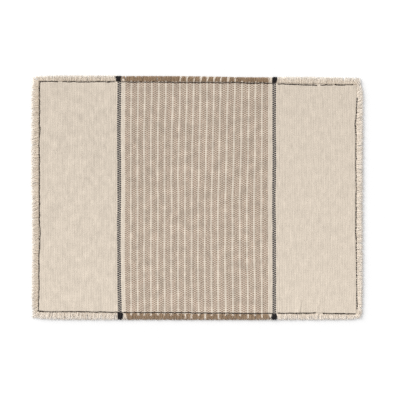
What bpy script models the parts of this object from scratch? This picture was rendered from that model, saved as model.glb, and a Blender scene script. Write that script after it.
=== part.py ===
"""Flat woven placemat with a self fringe on all four sides, at real size.

Metres, +Z up. +X runs along the long side, +Y towards the back edge. The underside lies on z = 0 and the
origin is the middle of the outline. The cloth is one flat solid. Past its edge each run of loose yarn ends is
a solid of its own: a narrow backing strip, parted from the cloth by a hairline gap, with its locks grown out
of it.
"""

import math
import random
from typing import NamedTuple

import bmesh
import bpy
import numpy as np
from mathutils import Vector

MM = 0.001

# Cloth, in millimetres
THICKNESS = 2.0
RIM_THICKNESS = 1.6  # where the stitches press the edge down
RIM_WIDTH = 3.0
UNEVEN = 0.12  # how far the upper face strays from level
WAVES = (61.0, 47.0, 29.0)  # of its slow waves across, up and aslant, over one radian
CLOTH_COLUMNS = 26
CLOTH_ROWS = 20

# Small ridge where the front edge is drawn up at its right, in millimetres
PUCKER_START = Vector((178.0, -166.0))
PUCKER_END = Vector((152.0, -118.0))
PUCKER_HEIGHT = 0.35
PUCKER_WIDTH = 5.0

# Fringe, in millimetres and degrees
GAP = 0.3  # between the cloth and each backing strip, and between two strips
STRIP_DEPTH = 1.2
STRIP_HEIGHT = 1.5
LOCK_HEIGHTS = (1.5, 1.3, 0.8)  # at the root, the bend and the tip
LOCK_WIDTHS = (0.90, 0.84, 0.62)  # the same places, as shares of the locks' pitch
LOCK_BENDS = (0.6, 1.4)  # lean before and after the bend, as shares of the lock's lean
TOP_NARROWING = 0.75  # a lock's upper face, as a share of its width
REACH_JITTER = 1.1
LEAN_JITTER = 2.0
LEAN_SWAY = 5.0  # slow sway of neighbouring locks
SWAY_LENGTH = 37.0
CORNER_LEAN = 48.0
CORNER_ZONE = 17.0
CORNER_PULL_IN = 2.0  # how far a strip stops short of its side's first and last station
MAKE_WAY = 9.0  # length over which a run's end locks lean out of a tuft's way

# Places across the mat where the warp changes colour, in millimetres from its middle
CREAM_END = -116.9  # left panel, up to the left charcoal band
CHARCOAL_END = -111.7
BLOCK_START = -105.5  # the striped block, past a narrow cream strip
BLOCK_END = 102.5
CHARCOAL_START = 109.2
RIGHT_CHARCOAL_END = 114.9


class Station(NamedTuple):
    """A place along a side, with the cloth's edge and the fringe's tips there, in mm from the middle."""

    along: float
    cloth: float
    reach: float


class Side(NamedTuple):
    """A side of the mat: the way along it, the way outwards, and its stations in order."""

    along: Vector
    outward: Vector
    stations: tuple


class Grouping(NamedTuple):
    """How a run's locks are set out: the groups, the locks in each, the share of its pitch that a group
    fills, and how far the outer locks of a group fan out, in degrees."""

    groups: int
    locks: int
    share: float
    fan: float


class Run(NamedTuple):
    """Loose yarn ends of one colour, from a start to an end along their side, with the lean of the first
    locks, of those between and of the last ones, in degrees towards the side's end."""

    name: str
    side: Side
    start: float
    end: float
    grouping: Grouping
    leans: tuple
    yarn: str


class Warp(NamedTuple):
    """A stretch of warp of one colour: its run's name, edges, grouping, and its leans at back and front."""

    name: str
    start: float
    end: float
    grouping: Grouping
    yarn: str
    back: tuple
    front: tuple


class Yarn(NamedTuple):
    """Looks of a yarn: base colour and roughness."""

    colour: tuple
    roughness: float


BACK = Side(
    Vector((1, 0, 0)),
    Vector((0, 1, 0)),
    (
        Station(-233, 171.2, 175.5),
        Station(-224, 171.3, 178.0),
        Station(-205, 171.4, 178.5),
        Station(20, 171.4, 178.5),
        Station(101, 170.2, 177.0),
        Station(126, 168.3, 176.3),
        Station(215, 166.2, 174.6),
        Station(226, 166.2, 174.4),
        Station(234, 166.2, 173.2),
    ),
)
FRONT = Side(
    Vector((1, 0, 0)),
    Vector((0, -1, 0)),
    (
        Station(-234, 166.2, 173.5),
        Station(-226, 166.3, 177.0),
        Station(-205, 166.3, 178.0),
        Station(-110, 167.7, 178.3),
        Station(-95, 169.0, 178.5),
        Station(108, 170.3, 178.5),
        Station(128, 168.6, 178.2),
        Station(219, 169.6, 178.0),
        Station(228, 170.1, 177.6),
        Station(236, 170.3, 175.5),
    ),
)
LEFT = Side(
    Vector((0, 1, 0)),
    Vector((-1, 0, 0)),
    (
        Station(-168, 233.2, 240.0),
        Station(-158, 233.0, 241.4),
        Station(-146, 232.3, 241.8),
        Station(-130, 231.8, 241.2),
        Station(0, 231.9, 241.0),
        Station(150, 231.9, 241.2),
        Station(163, 231.8, 240.8),
        Station(172, 231.7, 237.5),
    ),
)
RIGHT = Side(
    Vector((0, 1, 0)),
    Vector((1, 0, 0)),
    (
        Station(-171, 234.3, 237.8),
        Station(-163, 234.2, 240.6),
        Station(-130, 232.8, 241.0),
        Station(0, 232.2, 240.8),
        Station(120, 232.3, 241.0),
        Station(148, 233.0, 240.8),
        Station(158, 233.0, 240.3),
        Station(167, 233.0, 237.8),
    ),
)

YARNS = {
    "cream_cotton": Yarn((0.69, 0.60, 0.49), 0.95),
    "taupe_cotton": Yarn((0.27, 0.19, 0.13), 0.95),
    "charcoal_cotton": Yarn((0.025, 0.022, 0.022), 0.95),
}


PANEL = Grouping(18, 1, 1.0, 0.0)
NARROW = Grouping(1, 1, 1.0, 0.0)
TUFT = Grouping(1, 3, 1.0, 6.5)
BLOCK = Grouping(21, 2, 0.75, 0.0)  # a taupe band fills three parts of its pitch, a pinstripe the fourth
WEFT_ENDS = Grouping(58, 1, 1.0, 0.0)

MAT_LEFT = max(BACK.stations[0].along, FRONT.stations[0].along) + CORNER_PULL_IN
MAT_RIGHT = min(BACK.stations[-1].along, FRONT.stations[-1].along) - CORNER_PULL_IN
WARPS = (
    Warp("cream_left", MAT_LEFT, CREAM_END, PANEL, "cream_cotton", (3, 3, -12), (-6, -5, -2)),
    Warp("charcoal_left", CREAM_END, CHARCOAL_END, TUFT, "charcoal_cotton", (-5, -5, -5), (6, 6, 6)),
    Warp("strip_left", CHARCOAL_END, BLOCK_START, NARROW, "cream_cotton", (6, 6, 6), (11, 11, 11)),
    Warp("taupe", BLOCK_START, BLOCK_END, BLOCK, "taupe_cotton", (3, 7, 9), (10, 0, -4)),
    Warp("strip_right", BLOCK_END, CHARCOAL_START, NARROW, "cream_cotton", (9, 9, 9), (-4, -4, -4)),
    Warp("charcoal_right", CHARCOAL_START, RIGHT_CHARCOAL_END, TUFT, "charcoal_cotton", (9, 9, 9), (0, 0, 0)),
    Warp("cream_right", RIGHT_CHARCOAL_END, MAT_RIGHT, PANEL, "cream_cotton", (16, 5, 3), (9, 3, 3)),
)
LEFT_LEANS = (-12, -20, -12)
RIGHT_LEANS = (2, 4, 2)


def runs_across(side, name):
    """The runs of the back or front edge, one for each stretch of warp."""
    runs = []
    for warp in WARPS:
        run_name, leans = f"fringe_{name}_{warp.name}", getattr(warp, name)
        runs.append(Run(run_name, side, warp.start, warp.end, warp.grouping, leans, warp.yarn))
    return runs


def run_beside(side, name, leans):
    """The run of a short side, where the cream weft yarns end."""
    start, end = side.stations[0].along + CORNER_PULL_IN, side.stations[-1].along - CORNER_PULL_IN
    return Run(f"fringe_{name}", side, start, end, WEFT_ENDS, leans, "cream_cotton")


def at(side, column, along):
    """A column of a side's stations, read between them."""
    places = [station.along for station in side.stations]
    return float(np.interp(along, places, [getattr(station, column) for station in side.stations]))


def grid_places(count, length):
    """Places from 0 to 1 for a grid's lines: a narrow rim at each end and even steps between."""
    rim = RIM_WIDTH / length
    return [0.0, *np.linspace(rim, 1.0 - rim, count - 1), 1.0]


def cloth_point(s, t):
    """A point of the cloth in mm, from its places across (s) and up (t), each from 0 to 1."""
    y = (t - 1) * at(FRONT, "cloth", 0) + t * at(BACK, "cloth", 0)
    x = (s - 1) * at(LEFT, "cloth", y) + s * at(RIGHT, "cloth", y)
    return Vector((x, (t - 1) * at(FRONT, "cloth", x) + t * at(BACK, "cloth", x)))


def pucker(point):
    """Height that the small ridge at the front edge adds, in mm."""
    ridge = PUCKER_END - PUCKER_START
    share = min(1.0, max(0.0, (point - PUCKER_START).dot(ridge) / ridge.length_squared))
    distance = (point - PUCKER_START - ridge * share).length
    return PUCKER_HEIGHT * (1.0 - share) * math.exp(-((distance / PUCKER_WIDTH) ** 2))


def upper_height(point, on_rim):
    """Height of the cloth's upper face in mm: almost level, lower on the rim."""
    across, up, aslant = WAVES
    sway = math.sin(point.x / across) * math.cos(point.y / up) + math.sin((point.x + point.y) / aslant)
    return (RIM_THICKNESS if on_rim else THICKNESS) + UNEVEN * sway / 2.0 + pucker(point)


def cloth_mesh():
    """The cloth: a grid laid on the outline, with walls down to one flat underside."""
    length = at(LEFT, "cloth", 0) + at(RIGHT, "cloth", 0)
    depth = at(FRONT, "cloth", 0) + at(BACK, "cloth", 0)
    across, up = grid_places(CLOTH_COLUMNS, length), grid_places(CLOTH_ROWS, depth)
    bm = bmesh.new()
    bmesh.ops.create_grid(bm, x_segments=CLOTH_COLUMNS, y_segments=CLOTH_ROWS, size=0.5)
    for vert in bm.verts:
        column, row = round((vert.co.x + 0.5) * CLOTH_COLUMNS), round((vert.co.y + 0.5) * CLOTH_ROWS)
        point = cloth_point(across[column], up[row])
        vert.co = (*point, upper_height(point, column in (0, CLOTH_COLUMNS) or row in (0, CLOTH_ROWS)))
    rim = [edge for edge in bm.edges if edge.is_boundary]
    walls = bmesh.ops.extrude_edge_only(bm, edges=rim)["geom"]
    lower = [item for item in walls if isinstance(item, bmesh.types.BMVert)]
    for vert in lower:
        vert.co.z = 0.0
    bmesh.ops.edgeloop_fill(bm, edges=[item for item in walls if isinstance(item, bmesh.types.BMEdge)])
    return finished(bm, "mat_cloth")


def cloth_edge(side):
    """The cloth's real edge along a side, as two lists in mm: places along it and distances outwards."""
    length = at(LEFT, "cloth", 0) + at(RIGHT, "cloth", 0)
    depth = at(FRONT, "cloth", 0) + at(BACK, "cloth", 0)
    if side.along.x:
        t = 1.0 if side is BACK else 0.0
        points = [cloth_point(s, t) for s in grid_places(CLOTH_COLUMNS, length)]
    else:
        s = 1.0 if side is RIGHT else 0.0
        points = [cloth_point(s, t) for t in grid_places(CLOTH_ROWS, depth)]
    return [p.dot(side.along.xy) for p in points], [p.dot(side.outward.xy) for p in points]


def lock_roots(run):
    """Start, end and place in its group (from -1 to 1) of each lock's root along its side, in mm."""
    start, end = run.start + GAP / 2, run.end - GAP / 2
    groups, locks, share, _ = run.grouping
    group_pitch = (end - start) / (groups - 1 + share)
    pitch = group_pitch * share / locks
    half = pitch * LOCK_WIDTHS[0] / 2
    for group in range(groups):
        for lock in range(locks):
            middle = start + group * group_pitch + (lock + 0.5) * pitch
            place = 2.0 * lock / (locks - 1) - 1.0 if locks > 1 else 0.0
            yield middle - half, middle + half, place


def corner_lean(side, along):
    """Lean that turns the last locks of a side towards its corners, in degrees."""
    first, last = side.stations[0].along, side.stations[-1].along
    from_first, from_last = along - first, last - along
    sign = 1.0 if from_last < from_first else -1.0
    return sign * CORNER_LEAN * max(0.0, 1.0 - min(from_first, from_last) / CORNER_ZONE)


def lock_lean(run, middle, place, rng):
    """Lean of a lock in degrees: its run's own, a slow sway, a little jitter and the turn at a corner."""
    first, own, last = run.leans
    if run.end - run.start > 2 * MAKE_WAY:
        places = [run.start, run.start + MAKE_WAY, run.end - MAKE_WAY, run.end]
        own = float(np.interp(middle, places, [first, own, own, last]))
    if run.grouping.groups > 1:
        own += LEAN_SWAY * math.sin(middle / SWAY_LENGTH * math.tau) + rng.uniform(-LEAN_JITTER, LEAN_JITTER)
    fan = run.grouping.fan * place if run.grouping.fan else 0.0
    turn = corner_lean(run.side, middle)
    return (own + fan) * (1.0 - abs(turn) / CORNER_LEAN) + turn


def grow_lock(bm, face, run, root, rng):
    """Extrudes a face of the strip twice into a lock that leans, narrows and lies level on the floor."""
    side = run.side
    middle, pitch = (root[0] + root[1]) / 2, (root[1] - root[0]) / LOCK_WIDTHS[0]
    lean = lock_lean(run, middle, root[2], rng)
    start = max(vert.co.dot(side.outward) for vert in face.verts)
    step = (at(side, "reach", middle) - start - rng.uniform(0.0, REACH_JITTER)) / len(LOCK_BENDS)
    spread = step * math.tan(math.radians(run.grouping.fan))
    here = side.along * middle + side.outward * start
    for share, width, height in zip(LOCK_BENDS, LOCK_WIDTHS[1:], LOCK_HEIGHTS[1:]):
        middle = here.dot(side.along)
        here = here + side.outward * step + side.along * step * math.tan(math.radians(lean * share))
        pitch += spread
        face = bmesh.ops.extrude_discrete_faces(bm, faces=[face])["faces"][0]
        for vert in face.verts:
            is_upper = vert.co.z > 0.0
            half = pitch * width / 2 * (TOP_NARROWING if is_upper else 1.0)
            half = math.copysign(half, vert.co.dot(side.along) - middle)
            vert.co = here + side.along * half + Vector((0, 0, height if is_upper else 0.0))


def fringe_mesh(run):
    """A run of fringe: its backing strip along the cloth's edge, with a lock grown from each root."""
    side = run.side
    roots = list(lock_roots(run))
    places = [run.start + GAP / 2, *(place for root in roots for place in root[:2]), run.end - GAP / 2]
    edge_along, edge_outward = cloth_edge(side)
    columns = len(places) - 1
    bm = bmesh.new()
    bmesh.ops.create_grid(bm, x_segments=columns, y_segments=1, size=0.5)
    for vert in bm.verts:
        along = places[round((vert.co.x + 0.5) * columns)]
        outward = float(np.interp(along, edge_along, edge_outward)) + GAP
        outward += STRIP_DEPTH if vert.co.y > 0 else 0.0
        vert.co = side.along * along + side.outward * outward
    top = bmesh.ops.extrude_face_region(bm, geom=bm.faces[:])["geom"]
    for item in top:
        if isinstance(item, bmesh.types.BMVert):
            item.co.z = STRIP_HEIGHT
    bmesh.ops.recalc_face_normals(bm, faces=bm.faces)
    outer = [face for face in bm.faces if face.normal.dot(side.outward) > 0.7]
    outer.sort(key=lambda face: face.calc_center_median().dot(side.along))
    rng = random.Random(run.name)
    for root, face in zip(roots, outer[1::2]):
        grow_lock(bm, face, run, root, rng)
    return finished(bm, run.name)


def finished(bm, name):
    """A mesh in metres with its faces pointing out, from a bmesh in mm."""
    bmesh.ops.recalc_face_normals(bm, faces=bm.faces)
    bmesh.ops.scale(bm, vec=(MM, MM, MM), verts=bm.verts)
    mesh = bpy.data.meshes.new(name)
    bm.to_mesh(mesh)
    bm.free()
    return mesh


def material(name):
    """A matte material of a yarn's colour."""
    yarn = YARNS[name]
    made = bpy.data.materials.new(name)
    made.use_nodes = True
    shader = made.node_tree.nodes["Principled BSDF"]
    shader.inputs["Base Color"].default_value = (*yarn.colour, 1.0)
    shader.inputs["Roughness"].default_value = yarn.roughness
    shader.inputs["Metallic"].default_value = 0.0
    return made


def centre(objects):
    """Moves every mesh so that the middle of the whole outline is on the Z axis."""
    corners = [vert.co for piece in objects for vert in piece.data.vertices]
    middle = Vector((0.0, 0.0, 0.0))
    for axis in range(2):
        middle[axis] = (min(corner[axis] for corner in corners) + max(corner[axis] for corner in corners)) / 2
    for piece in objects:
        for vert in piece.data.vertices:
            vert.co -= middle


def main():
    """Builds the cloth and its sixteen runs of fringe."""
    for old in list(bpy.data.objects):
        bpy.data.objects.remove(old)
    runs = [
        *runs_across(BACK, "back"),
        *runs_across(FRONT, "front"),
        run_beside(LEFT, "left", LEFT_LEANS),
        run_beside(RIGHT, "right", RIGHT_LEANS),
    ]
    pieces = [(cloth_mesh(), "cream_cotton")] + [(fringe_mesh(run), run.yarn) for run in runs]
    objects = []
    for mesh, yarn in pieces:
        mesh.materials.append(material(yarn))
        piece = bpy.data.objects.new(mesh.name, mesh)
        bpy.context.scene.collection.objects.link(piece)
        objects.append(piece)
    centre(objects)


main()
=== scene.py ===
"""Looks of a flat woven cotton placemat with a self fringe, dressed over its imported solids.

The cloth is laid out in thread coordinates: u counts pairs of warp yarns from the left edge, and v pairs of
weft yarns from the front edge. One plan turns them into places on the mat, so that the weave's relief, its
colours and the loose yarn ends of the fringe all follow the same threads. Sizes are in millimetres from the
mat's middle, +X along the long side and +Y to the back, until a mesh is seated on the frame in metres.
"""

import logging
import math
from dataclasses import dataclass
from dataclasses import field
from dataclasses import replace
from enum import Enum

import bmesh
import bpy
import numpy as np
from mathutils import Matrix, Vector


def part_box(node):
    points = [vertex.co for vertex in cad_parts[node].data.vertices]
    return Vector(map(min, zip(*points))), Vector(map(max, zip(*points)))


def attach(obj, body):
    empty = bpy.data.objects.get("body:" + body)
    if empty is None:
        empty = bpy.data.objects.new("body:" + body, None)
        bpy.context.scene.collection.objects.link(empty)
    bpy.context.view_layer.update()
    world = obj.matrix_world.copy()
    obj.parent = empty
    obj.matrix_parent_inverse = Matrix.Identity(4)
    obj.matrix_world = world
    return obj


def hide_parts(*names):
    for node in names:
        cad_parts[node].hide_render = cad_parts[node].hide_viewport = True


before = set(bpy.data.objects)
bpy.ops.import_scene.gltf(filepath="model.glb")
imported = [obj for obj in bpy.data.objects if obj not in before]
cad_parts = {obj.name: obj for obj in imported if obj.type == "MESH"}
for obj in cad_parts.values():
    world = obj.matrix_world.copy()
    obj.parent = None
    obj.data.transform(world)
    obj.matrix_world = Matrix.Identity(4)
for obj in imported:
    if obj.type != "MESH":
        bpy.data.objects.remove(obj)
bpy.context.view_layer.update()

LOG = logging.getLogger("placemat")
MM = 0.001
BODY = "root"
THREADS = "threads"  # the cloth's own UV map, in thread coordinates
STRANDS = "strands"  # the UV map of loose yarns: number of the yarn plus place round it, and place along it
CORNER_ZONE = 17.0  # mm of a side over which its yarns turn towards the corner


class Yarn(Enum):
    """The yarns of the mat, each with the material slot that it takes its finish from."""

    CREAM = "cream_cotton"
    TAUPE = "taupe_cotton"
    CHARCOAL = "charcoal_cotton"


@dataclass(frozen=True)
class Station:
    """A place along a side, with the cloth's edge and the fringe's tips there, in mm from the middle."""

    along: float
    cloth: float
    reach: float


@dataclass(frozen=True)
class SeamPoint:
    """A place along a side, with the stitched seam's distance from the middle there, in mm."""

    along: float
    out: float


def stations(*rows: tuple[float, float, float]) -> tuple[Station, ...]:
    """Stations from rows of place, cloth's edge and fringe's tips."""
    return tuple(Station(*row) for row in rows)


def seam_points(*rows: tuple[float, float]) -> tuple[SeamPoint, ...]:
    """Points of a seam from rows of place and distance."""
    return tuple(SeamPoint(*row) for row in rows)


@dataclass(frozen=True)
class Side:
    """A side of the mat: the way along it, the way outwards, its stations and seam in order, and how far, in
    degrees, its yarns turn away at its two corners."""

    name: str
    along: tuple[float, float]
    outward: tuple[float, float]
    stations: tuple[Station, ...]
    seam: tuple[SeamPoint, ...]
    corner_leans: tuple[float, float]

    def read(self, column: str, along: np.ndarray | float) -> np.ndarray | float:
        """Reads a column of the stations between them.

        Args:
            column: "cloth" for the cloth's edge or "reach" for the fringe's tips.
            along: places along the side in mm.

        Returns:
            Distances from the middle, in mm.
        """
        places = [station.along for station in self.stations]
        return np.interp(along, places, [getattr(station, column) for station in self.stations])

    def seam_at(self, along: np.ndarray) -> np.ndarray:
        """Distance of the stitched seam from the middle, in mm, at places along the side."""
        return np.interp(along, [point.along for point in self.seam], [point.out for point in self.seam])

    def turned(self, along: np.ndarray, lean: np.ndarray) -> np.ndarray:
        """Turns the leans of yarns near the side's ends towards its corners.

        Args:
            along: places of the yarns along the side in mm.
            lean: their leans in degrees.

        Returns:
            The turned leans in degrees.
        """
        first, last = self.stations[0].along, self.stations[-1].along
        share = np.clip(1.0 - np.minimum(along - first, last - along) / CORNER_ZONE, 0.0, 1.0)
        at_corner = np.where(along < (first + last) / 2, -self.corner_leans[0], self.corner_leans[1])
        return lean * (1.0 - share) + at_corner * share


BACK = Side(
    "back",
    (1, 0),
    (0, 1),
    stations(
        (-233, 171.2, 178.2), (-224, 171.3, 179.0), (-205, 171.4, 179.5), (-125, 171.4, 179.5),
        (-112, 171.4, 178.6), (-30, 171.4, 178.4), (20, 171.4, 177.8), (69, 170.7, 176.8),
        (101, 170.2, 176.7), (126, 168.3, 177.5), (164, 167.4, 177.4), (215, 166.3, 176.2),
        (226, 166.3, 176.0), (234, 166.3, 174.2),
    ),
    seam_points(
        (-231, 170.7), (-210, 170.5), (-151, 170.0), (-128, 170.4), (-104, 169.9), (-34, 169.4),
        (-22, 169.0), (50, 169.0), (77, 168.4), (106, 167.8), (117, 166.9), (141, 166.3), (153, 165.7),
        (178, 165.0), (197, 165.4), (211, 165.9), (227, 165.6),
    ),
    (52.0, 26.0),
)
FRONT = Side(
    "front",
    (1, 0),
    (0, -1),
    stations(
        (-234, 166.2, 172.8), (-226, 166.3, 176.6), (-205, 166.3, 177.6), (-110, 167.7, 177.9),
        (-95, 169.0, 177.7), (108, 170.3, 178.0), (128, 168.9, 178.0), (219, 169.6, 177.7),
        (228, 170.1, 176.8), (236, 170.3, 174.8),
    ),
    seam_points(
        (-232, 165.5), (-212, 166.1), (-178, 166.0), (-166, 166.3), (-131, 166.6), (-98, 167.4),
        (-84, 167.3), (-49, 167.2), (-14, 167.6), (-2, 167.9), (68, 168.3), (103, 168.6), (138, 168.3),
        (150, 168.0), (174, 167.7), (197, 168.9), (230, 169.3),
    ),
    (48.0, 42.0),
)
LEFT = Side(
    "left",
    (0, 1),
    (-1, 0),
    stations(
        (-168, 233.2, 240.2), (-158, 233.0, 241.8), (-146, 232.5, 242.6), (-130, 232.1, 242.6),
        (-60, 232.0, 242.1), (0, 232.0, 242.6), (30, 231.9, 243.3), (150, 231.9, 242.9),
        (163, 231.8, 242.7), (172, 231.7, 241.8),
    ),
    seam_points(
        (-165, 232.7), (-143, 232.1), (-131, 231.4), (-84, 231.7), (-73, 231.0), (-61, 230.1),
        (-49, 230.0), (-38, 230.7), (-14, 231.3), (21, 231.2), (33, 230.9), (79, 231.2), (114, 230.9),
        (171, 230.8),
    ),
    (48.0, 30.0),
)
RIGHT = Side(
    "right",
    (0, 1),
    (1, 0),
    stations(
        (-171, 234.3, 237.6), (-163, 234.2, 240.6), (-130, 232.8, 241.4), (0, 232.2, 241.5),
        (120, 232.3, 242.0), (148, 233.0, 241.8), (154, 233.0, 240.4), (161, 233.0, 238.4),
        (167, 233.0, 237.0),
    ),
    seam_points(
        (-163, 233.0), (-125, 232.9), (-79, 232.2), (-55, 231.5), (-20, 231.5), (3, 231.9), (38, 231.8),
        (50, 231.2), (85, 231.8), (108, 230.8), (122, 232.1), (148, 233.4),
    ),
    (42.0, 60.0),
)


@dataclass(frozen=True)
class Stretch:
    """Warp pairs of one kind side by side: how many, their yarn, and where they end at mid height, in mm."""

    name: str
    pairs: int
    yarn: Yarn
    end: float


STRETCHES = (
    Stretch("cream_left", 46, Yarn.CREAM, -117.4),
    Stretch("charcoal_left", 2, Yarn.CHARCOAL, -112.0),
    Stretch("strip_left", 3, Yarn.CREAM, -105.9),
    Stretch("taupe", 83, Yarn.TAUPE, 102.5),
    Stretch("strip_right", 3, Yarn.CREAM, 109.1),
    Stretch("charcoal_right", 2, Yarn.CHARCOAL, 114.4),
    Stretch("cream_right", 47, Yarn.CREAM, 232.2),
)
COLUMNS = sum(stretch.pairs for stretch in STRETCHES)
ROWS = 214
PINSTRIPE_REPEAT = 4  # pairs: three of taupe and one of cream
YARNS_IN_PAIR = 2
# Marks in the block: pairs from its start, and mm across the mat
BLOCK_GAUGE = ((3.5, -97.7), (15.5, -68.1), (31.5, -27.9), (55.5, 30.0), (79.5, 93.2))


def first_pair(name: str) -> int:
    """Number of warp pairs before a stretch."""
    names = [stretch.name for stretch in STRETCHES]
    return sum(stretch.pairs for stretch in STRETCHES[: names.index(name)])


def ease(share: np.ndarray) -> np.ndarray:
    """Turns a straight rise from 0 to 1 into a soft one."""
    return share * share * (3.0 - 2.0 * share)


def blend(ends: tuple[float, float], share: np.ndarray) -> np.ndarray:
    """Values on the way from a first one to a second one."""
    return ends[0] + (ends[1] - ends[0]) * share


@dataclass(frozen=True)
class SlowNoise:
    """Smooth noise over the cloth, with its steps in pairs across and along, and its size."""

    seed: int
    across: float
    along: float
    size: float

    def at(self, u: np.ndarray, v: np.ndarray) -> np.ndarray:
        """Reads the noise.

        Args:
            u: places in pairs of warp from the left edge.
            v: places in pairs of weft from the front edge.

        Returns:
            Values from -size to size.
        """
        rng = np.random.default_rng(self.seed)
        shape = (int(COLUMNS / self.across) + 3, int(ROWS / self.along) + 3)
        lattice = rng.uniform(-self.size, self.size, shape)
        a, b = u / self.across, v / self.along
        i, j = a.astype(int), b.astype(int)
        p, q = ease(a - i), ease(b - j)
        near = lattice[i, j] * (1.0 - p) + lattice[i + 1, j] * p
        far = lattice[i, j + 1] * (1.0 - p) + lattice[i + 1, j + 1] * p
        return near * (1.0 - q) + far * q


@dataclass(frozen=True)
class Bow:
    """How far the warp is drawn to the right at one place across the mat, in mm, at each of HEIGHTS."""

    across: float
    drawn: tuple[float, ...]


HEIGHTS = (-156.0, -119.0, -84.0, -3.0, 21.0, 67.0, 102.0, 137.0, 166.0)
BOWS = (
    Bow(-232, (0.0, 0.0, 0.0, 0.0, 0.0, 0.0, 0.0, 0.0, 0.0)),
    Bow(-110, (1.0, 0.4, 0.0, 0.0, 0.0, 0.1, 0.0, 0.3, 0.7)),
    Bow(-69, (0.3, 0.0, -0.2, 0.0, -0.2, 0.0, 0.0, 0.9, 1.3)),
    Bow(-28, (0.0, -0.7, -0.9, 0.0, -0.4, -0.1, 0.7, 2.2, 2.6)),
    Bow(10, (0.4, -0.2, -0.3, 0.0, 0.6, 1.8, 2.6, 3.3, 3.4)),
    Bow(45, (0.5, 0.0, -0.2, 0.0, 0.7, 1.9, 2.5, 3.1, 3.5)),
    Bow(71, (1.4, 1.0, 0.2, 0.0, 0.6, 2.0, 2.0, 2.6, 3.3)),
    Bow(94, (0.6, 0.5, 0.2, 0.0, 0.0, 1.0, 0.9, 1.0, 1.3)),
    Bow(109, (0.4, 0.8, 0.8, 0.0, 0.3, 0.8, 0.5, 0.7, 0.6)),
    Bow(232, (0.0, 0.0, 0.0, 0.0, 0.0, 0.0, 0.0, 0.0, 0.0)),
)


class Sett:
    """The plan of the threads: where each pair of warp and weft yarns lies on the mat."""

    bow_smoothing = 30.0  # mm
    bow_reach = 200.0  # mm to the front and to the back for which the bow is worked out
    edge_pairs = 4.0  # pairs over which the wander dies away towards an edge
    warp_wander = (SlowNoise(11, 7, 26, 0.35), SlowNoise(12, 1, 6, 0.2))
    weft_wander = (SlowNoise(13, 31, 17, 0.5), SlowNoise(14, 5, 1, 0.17))

    def __init__(self) -> None:
        """Works out the marks across the mat and the smoothed bow of the warp."""
        ends = np.cumsum([stretch.pairs for stretch in STRETCHES])
        start = first_pair("taupe")
        marks = [(0.0, -float(LEFT.read("cloth", 0.0)))]
        marks += [(float(end), stretch.end) for end, stretch in zip(ends, STRETCHES)]
        marks += [(start + pairs, across) for pairs, across in BLOCK_GAUGE]
        marks.sort()
        self.mark_u = [mark[0] for mark in marks]
        self.mark_x = [mark[1] for mark in marks]
        self.bow_y = np.arange(-self.bow_reach, self.bow_reach + 1.0)
        window = np.hanning(self.bow_smoothing)
        pad = len(window)
        self.bow_at = []
        for bow in BOWS:
            line = np.pad(np.interp(self.bow_y, HEIGHTS, bow.drawn), pad, mode="edge")
            self.bow_at.append(np.convolve(line, window / window.sum(), "same")[pad:-pad])

    def bow(self, x: np.ndarray, y: np.ndarray) -> np.ndarray:
        """How far the warp is drawn to the right.

        Args:
            x: places across the mat in mm from the middle.
            y: places along it in mm from the middle.

        Returns:
            Shifts in mm.
        """
        read = np.array([np.interp(y, self.bow_y, line) for line in self.bow_at])
        across = np.array([bow.across for bow in BOWS])
        after = np.clip(np.searchsorted(across, x), 1, len(across) - 1)
        share = np.clip((x - across[after - 1]) / (across[after] - across[after - 1]), 0.0, 1.0)
        columns = np.arange(len(x))
        return read[after - 1, columns] * (1.0 - share) + read[after, columns] * share

    def plan(self, u: np.ndarray, v: np.ndarray) -> tuple[np.ndarray, np.ndarray]:
        """Places on the mat for thread coordinates.

        Args:
            u: pairs of warp from the left edge.
            v: pairs of weft from the front edge.

        Returns:
            x and y in mm from the middle.
        """
        t = v / ROWS
        y = (t - 1.0) * FRONT.read("cloth", 0.0) + t * BACK.read("cloth", 0.0)
        x = np.interp(u, self.mark_u, self.mark_x)
        left_share = np.clip(1.0 - u / STRETCHES[0].pairs, 0.0, 1.0)
        right_share = np.clip(1.0 - (COLUMNS - u) / STRETCHES[-1].pairs, 0.0, 1.0)
        x -= left_share * (LEFT.read("cloth", y) - LEFT.read("cloth", 0.0))
        x += right_share * (RIGHT.read("cloth", y) - RIGHT.read("cloth", 0.0))
        y = (t - 1.0) * FRONT.read("cloth", x) + t * BACK.read("cloth", x)
        x_free = np.clip(np.minimum(u, COLUMNS - u) / self.edge_pairs, 0.0, 1.0)
        y_free = np.clip(np.minimum(v, ROWS - v) / self.edge_pairs, 0.0, 1.0)
        shift_x = sum(noise.at(u, v) for noise in self.warp_wander)
        shift_y = sum(noise.at(u, v) for noise in self.weft_wander)
        return x + self.bow(x, y) + x_free * shift_x, y + y_free * shift_y


SETT = Sett()


def seat() -> Vector:
    """Shift from the mat's middle to the frame's origin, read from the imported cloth's own box.

    Returns:
        The shift in mm.
    """
    low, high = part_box("mat_cloth")
    left_most, back_most = (max(station.cloth for station in side.stations) for side in (LEFT, BACK))
    return Vector((low.x / MM + left_most, high.y / MM - back_most, 0.0))


SEAT = seat()


def seated(points: np.ndarray) -> np.ndarray:
    """Points of shape (n, 3), from mm at the mat's middle to metres in the frame."""
    return (points + np.array(SEAT)) * MM


def edge_distance(x: np.ndarray, y: np.ndarray) -> np.ndarray:
    """Distance in mm from places on the cloth to its nearest edge."""
    across = np.minimum(x + LEFT.read("cloth", y), RIGHT.read("cloth", y) - x)
    return np.minimum(across, np.minimum(y + FRONT.read("cloth", x), BACK.read("cloth", x) - y))


def seam_distance(x: np.ndarray, y: np.ndarray) -> np.ndarray:
    """Distance in mm from places on the cloth inwards to the stitched seam round them, below 0 outside it."""
    across = np.minimum(x + LEFT.seam_at(y), RIGHT.seam_at(y) - x)
    return np.minimum(across, np.minimum(y + FRONT.seam_at(x), BACK.seam_at(x) - y))


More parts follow.
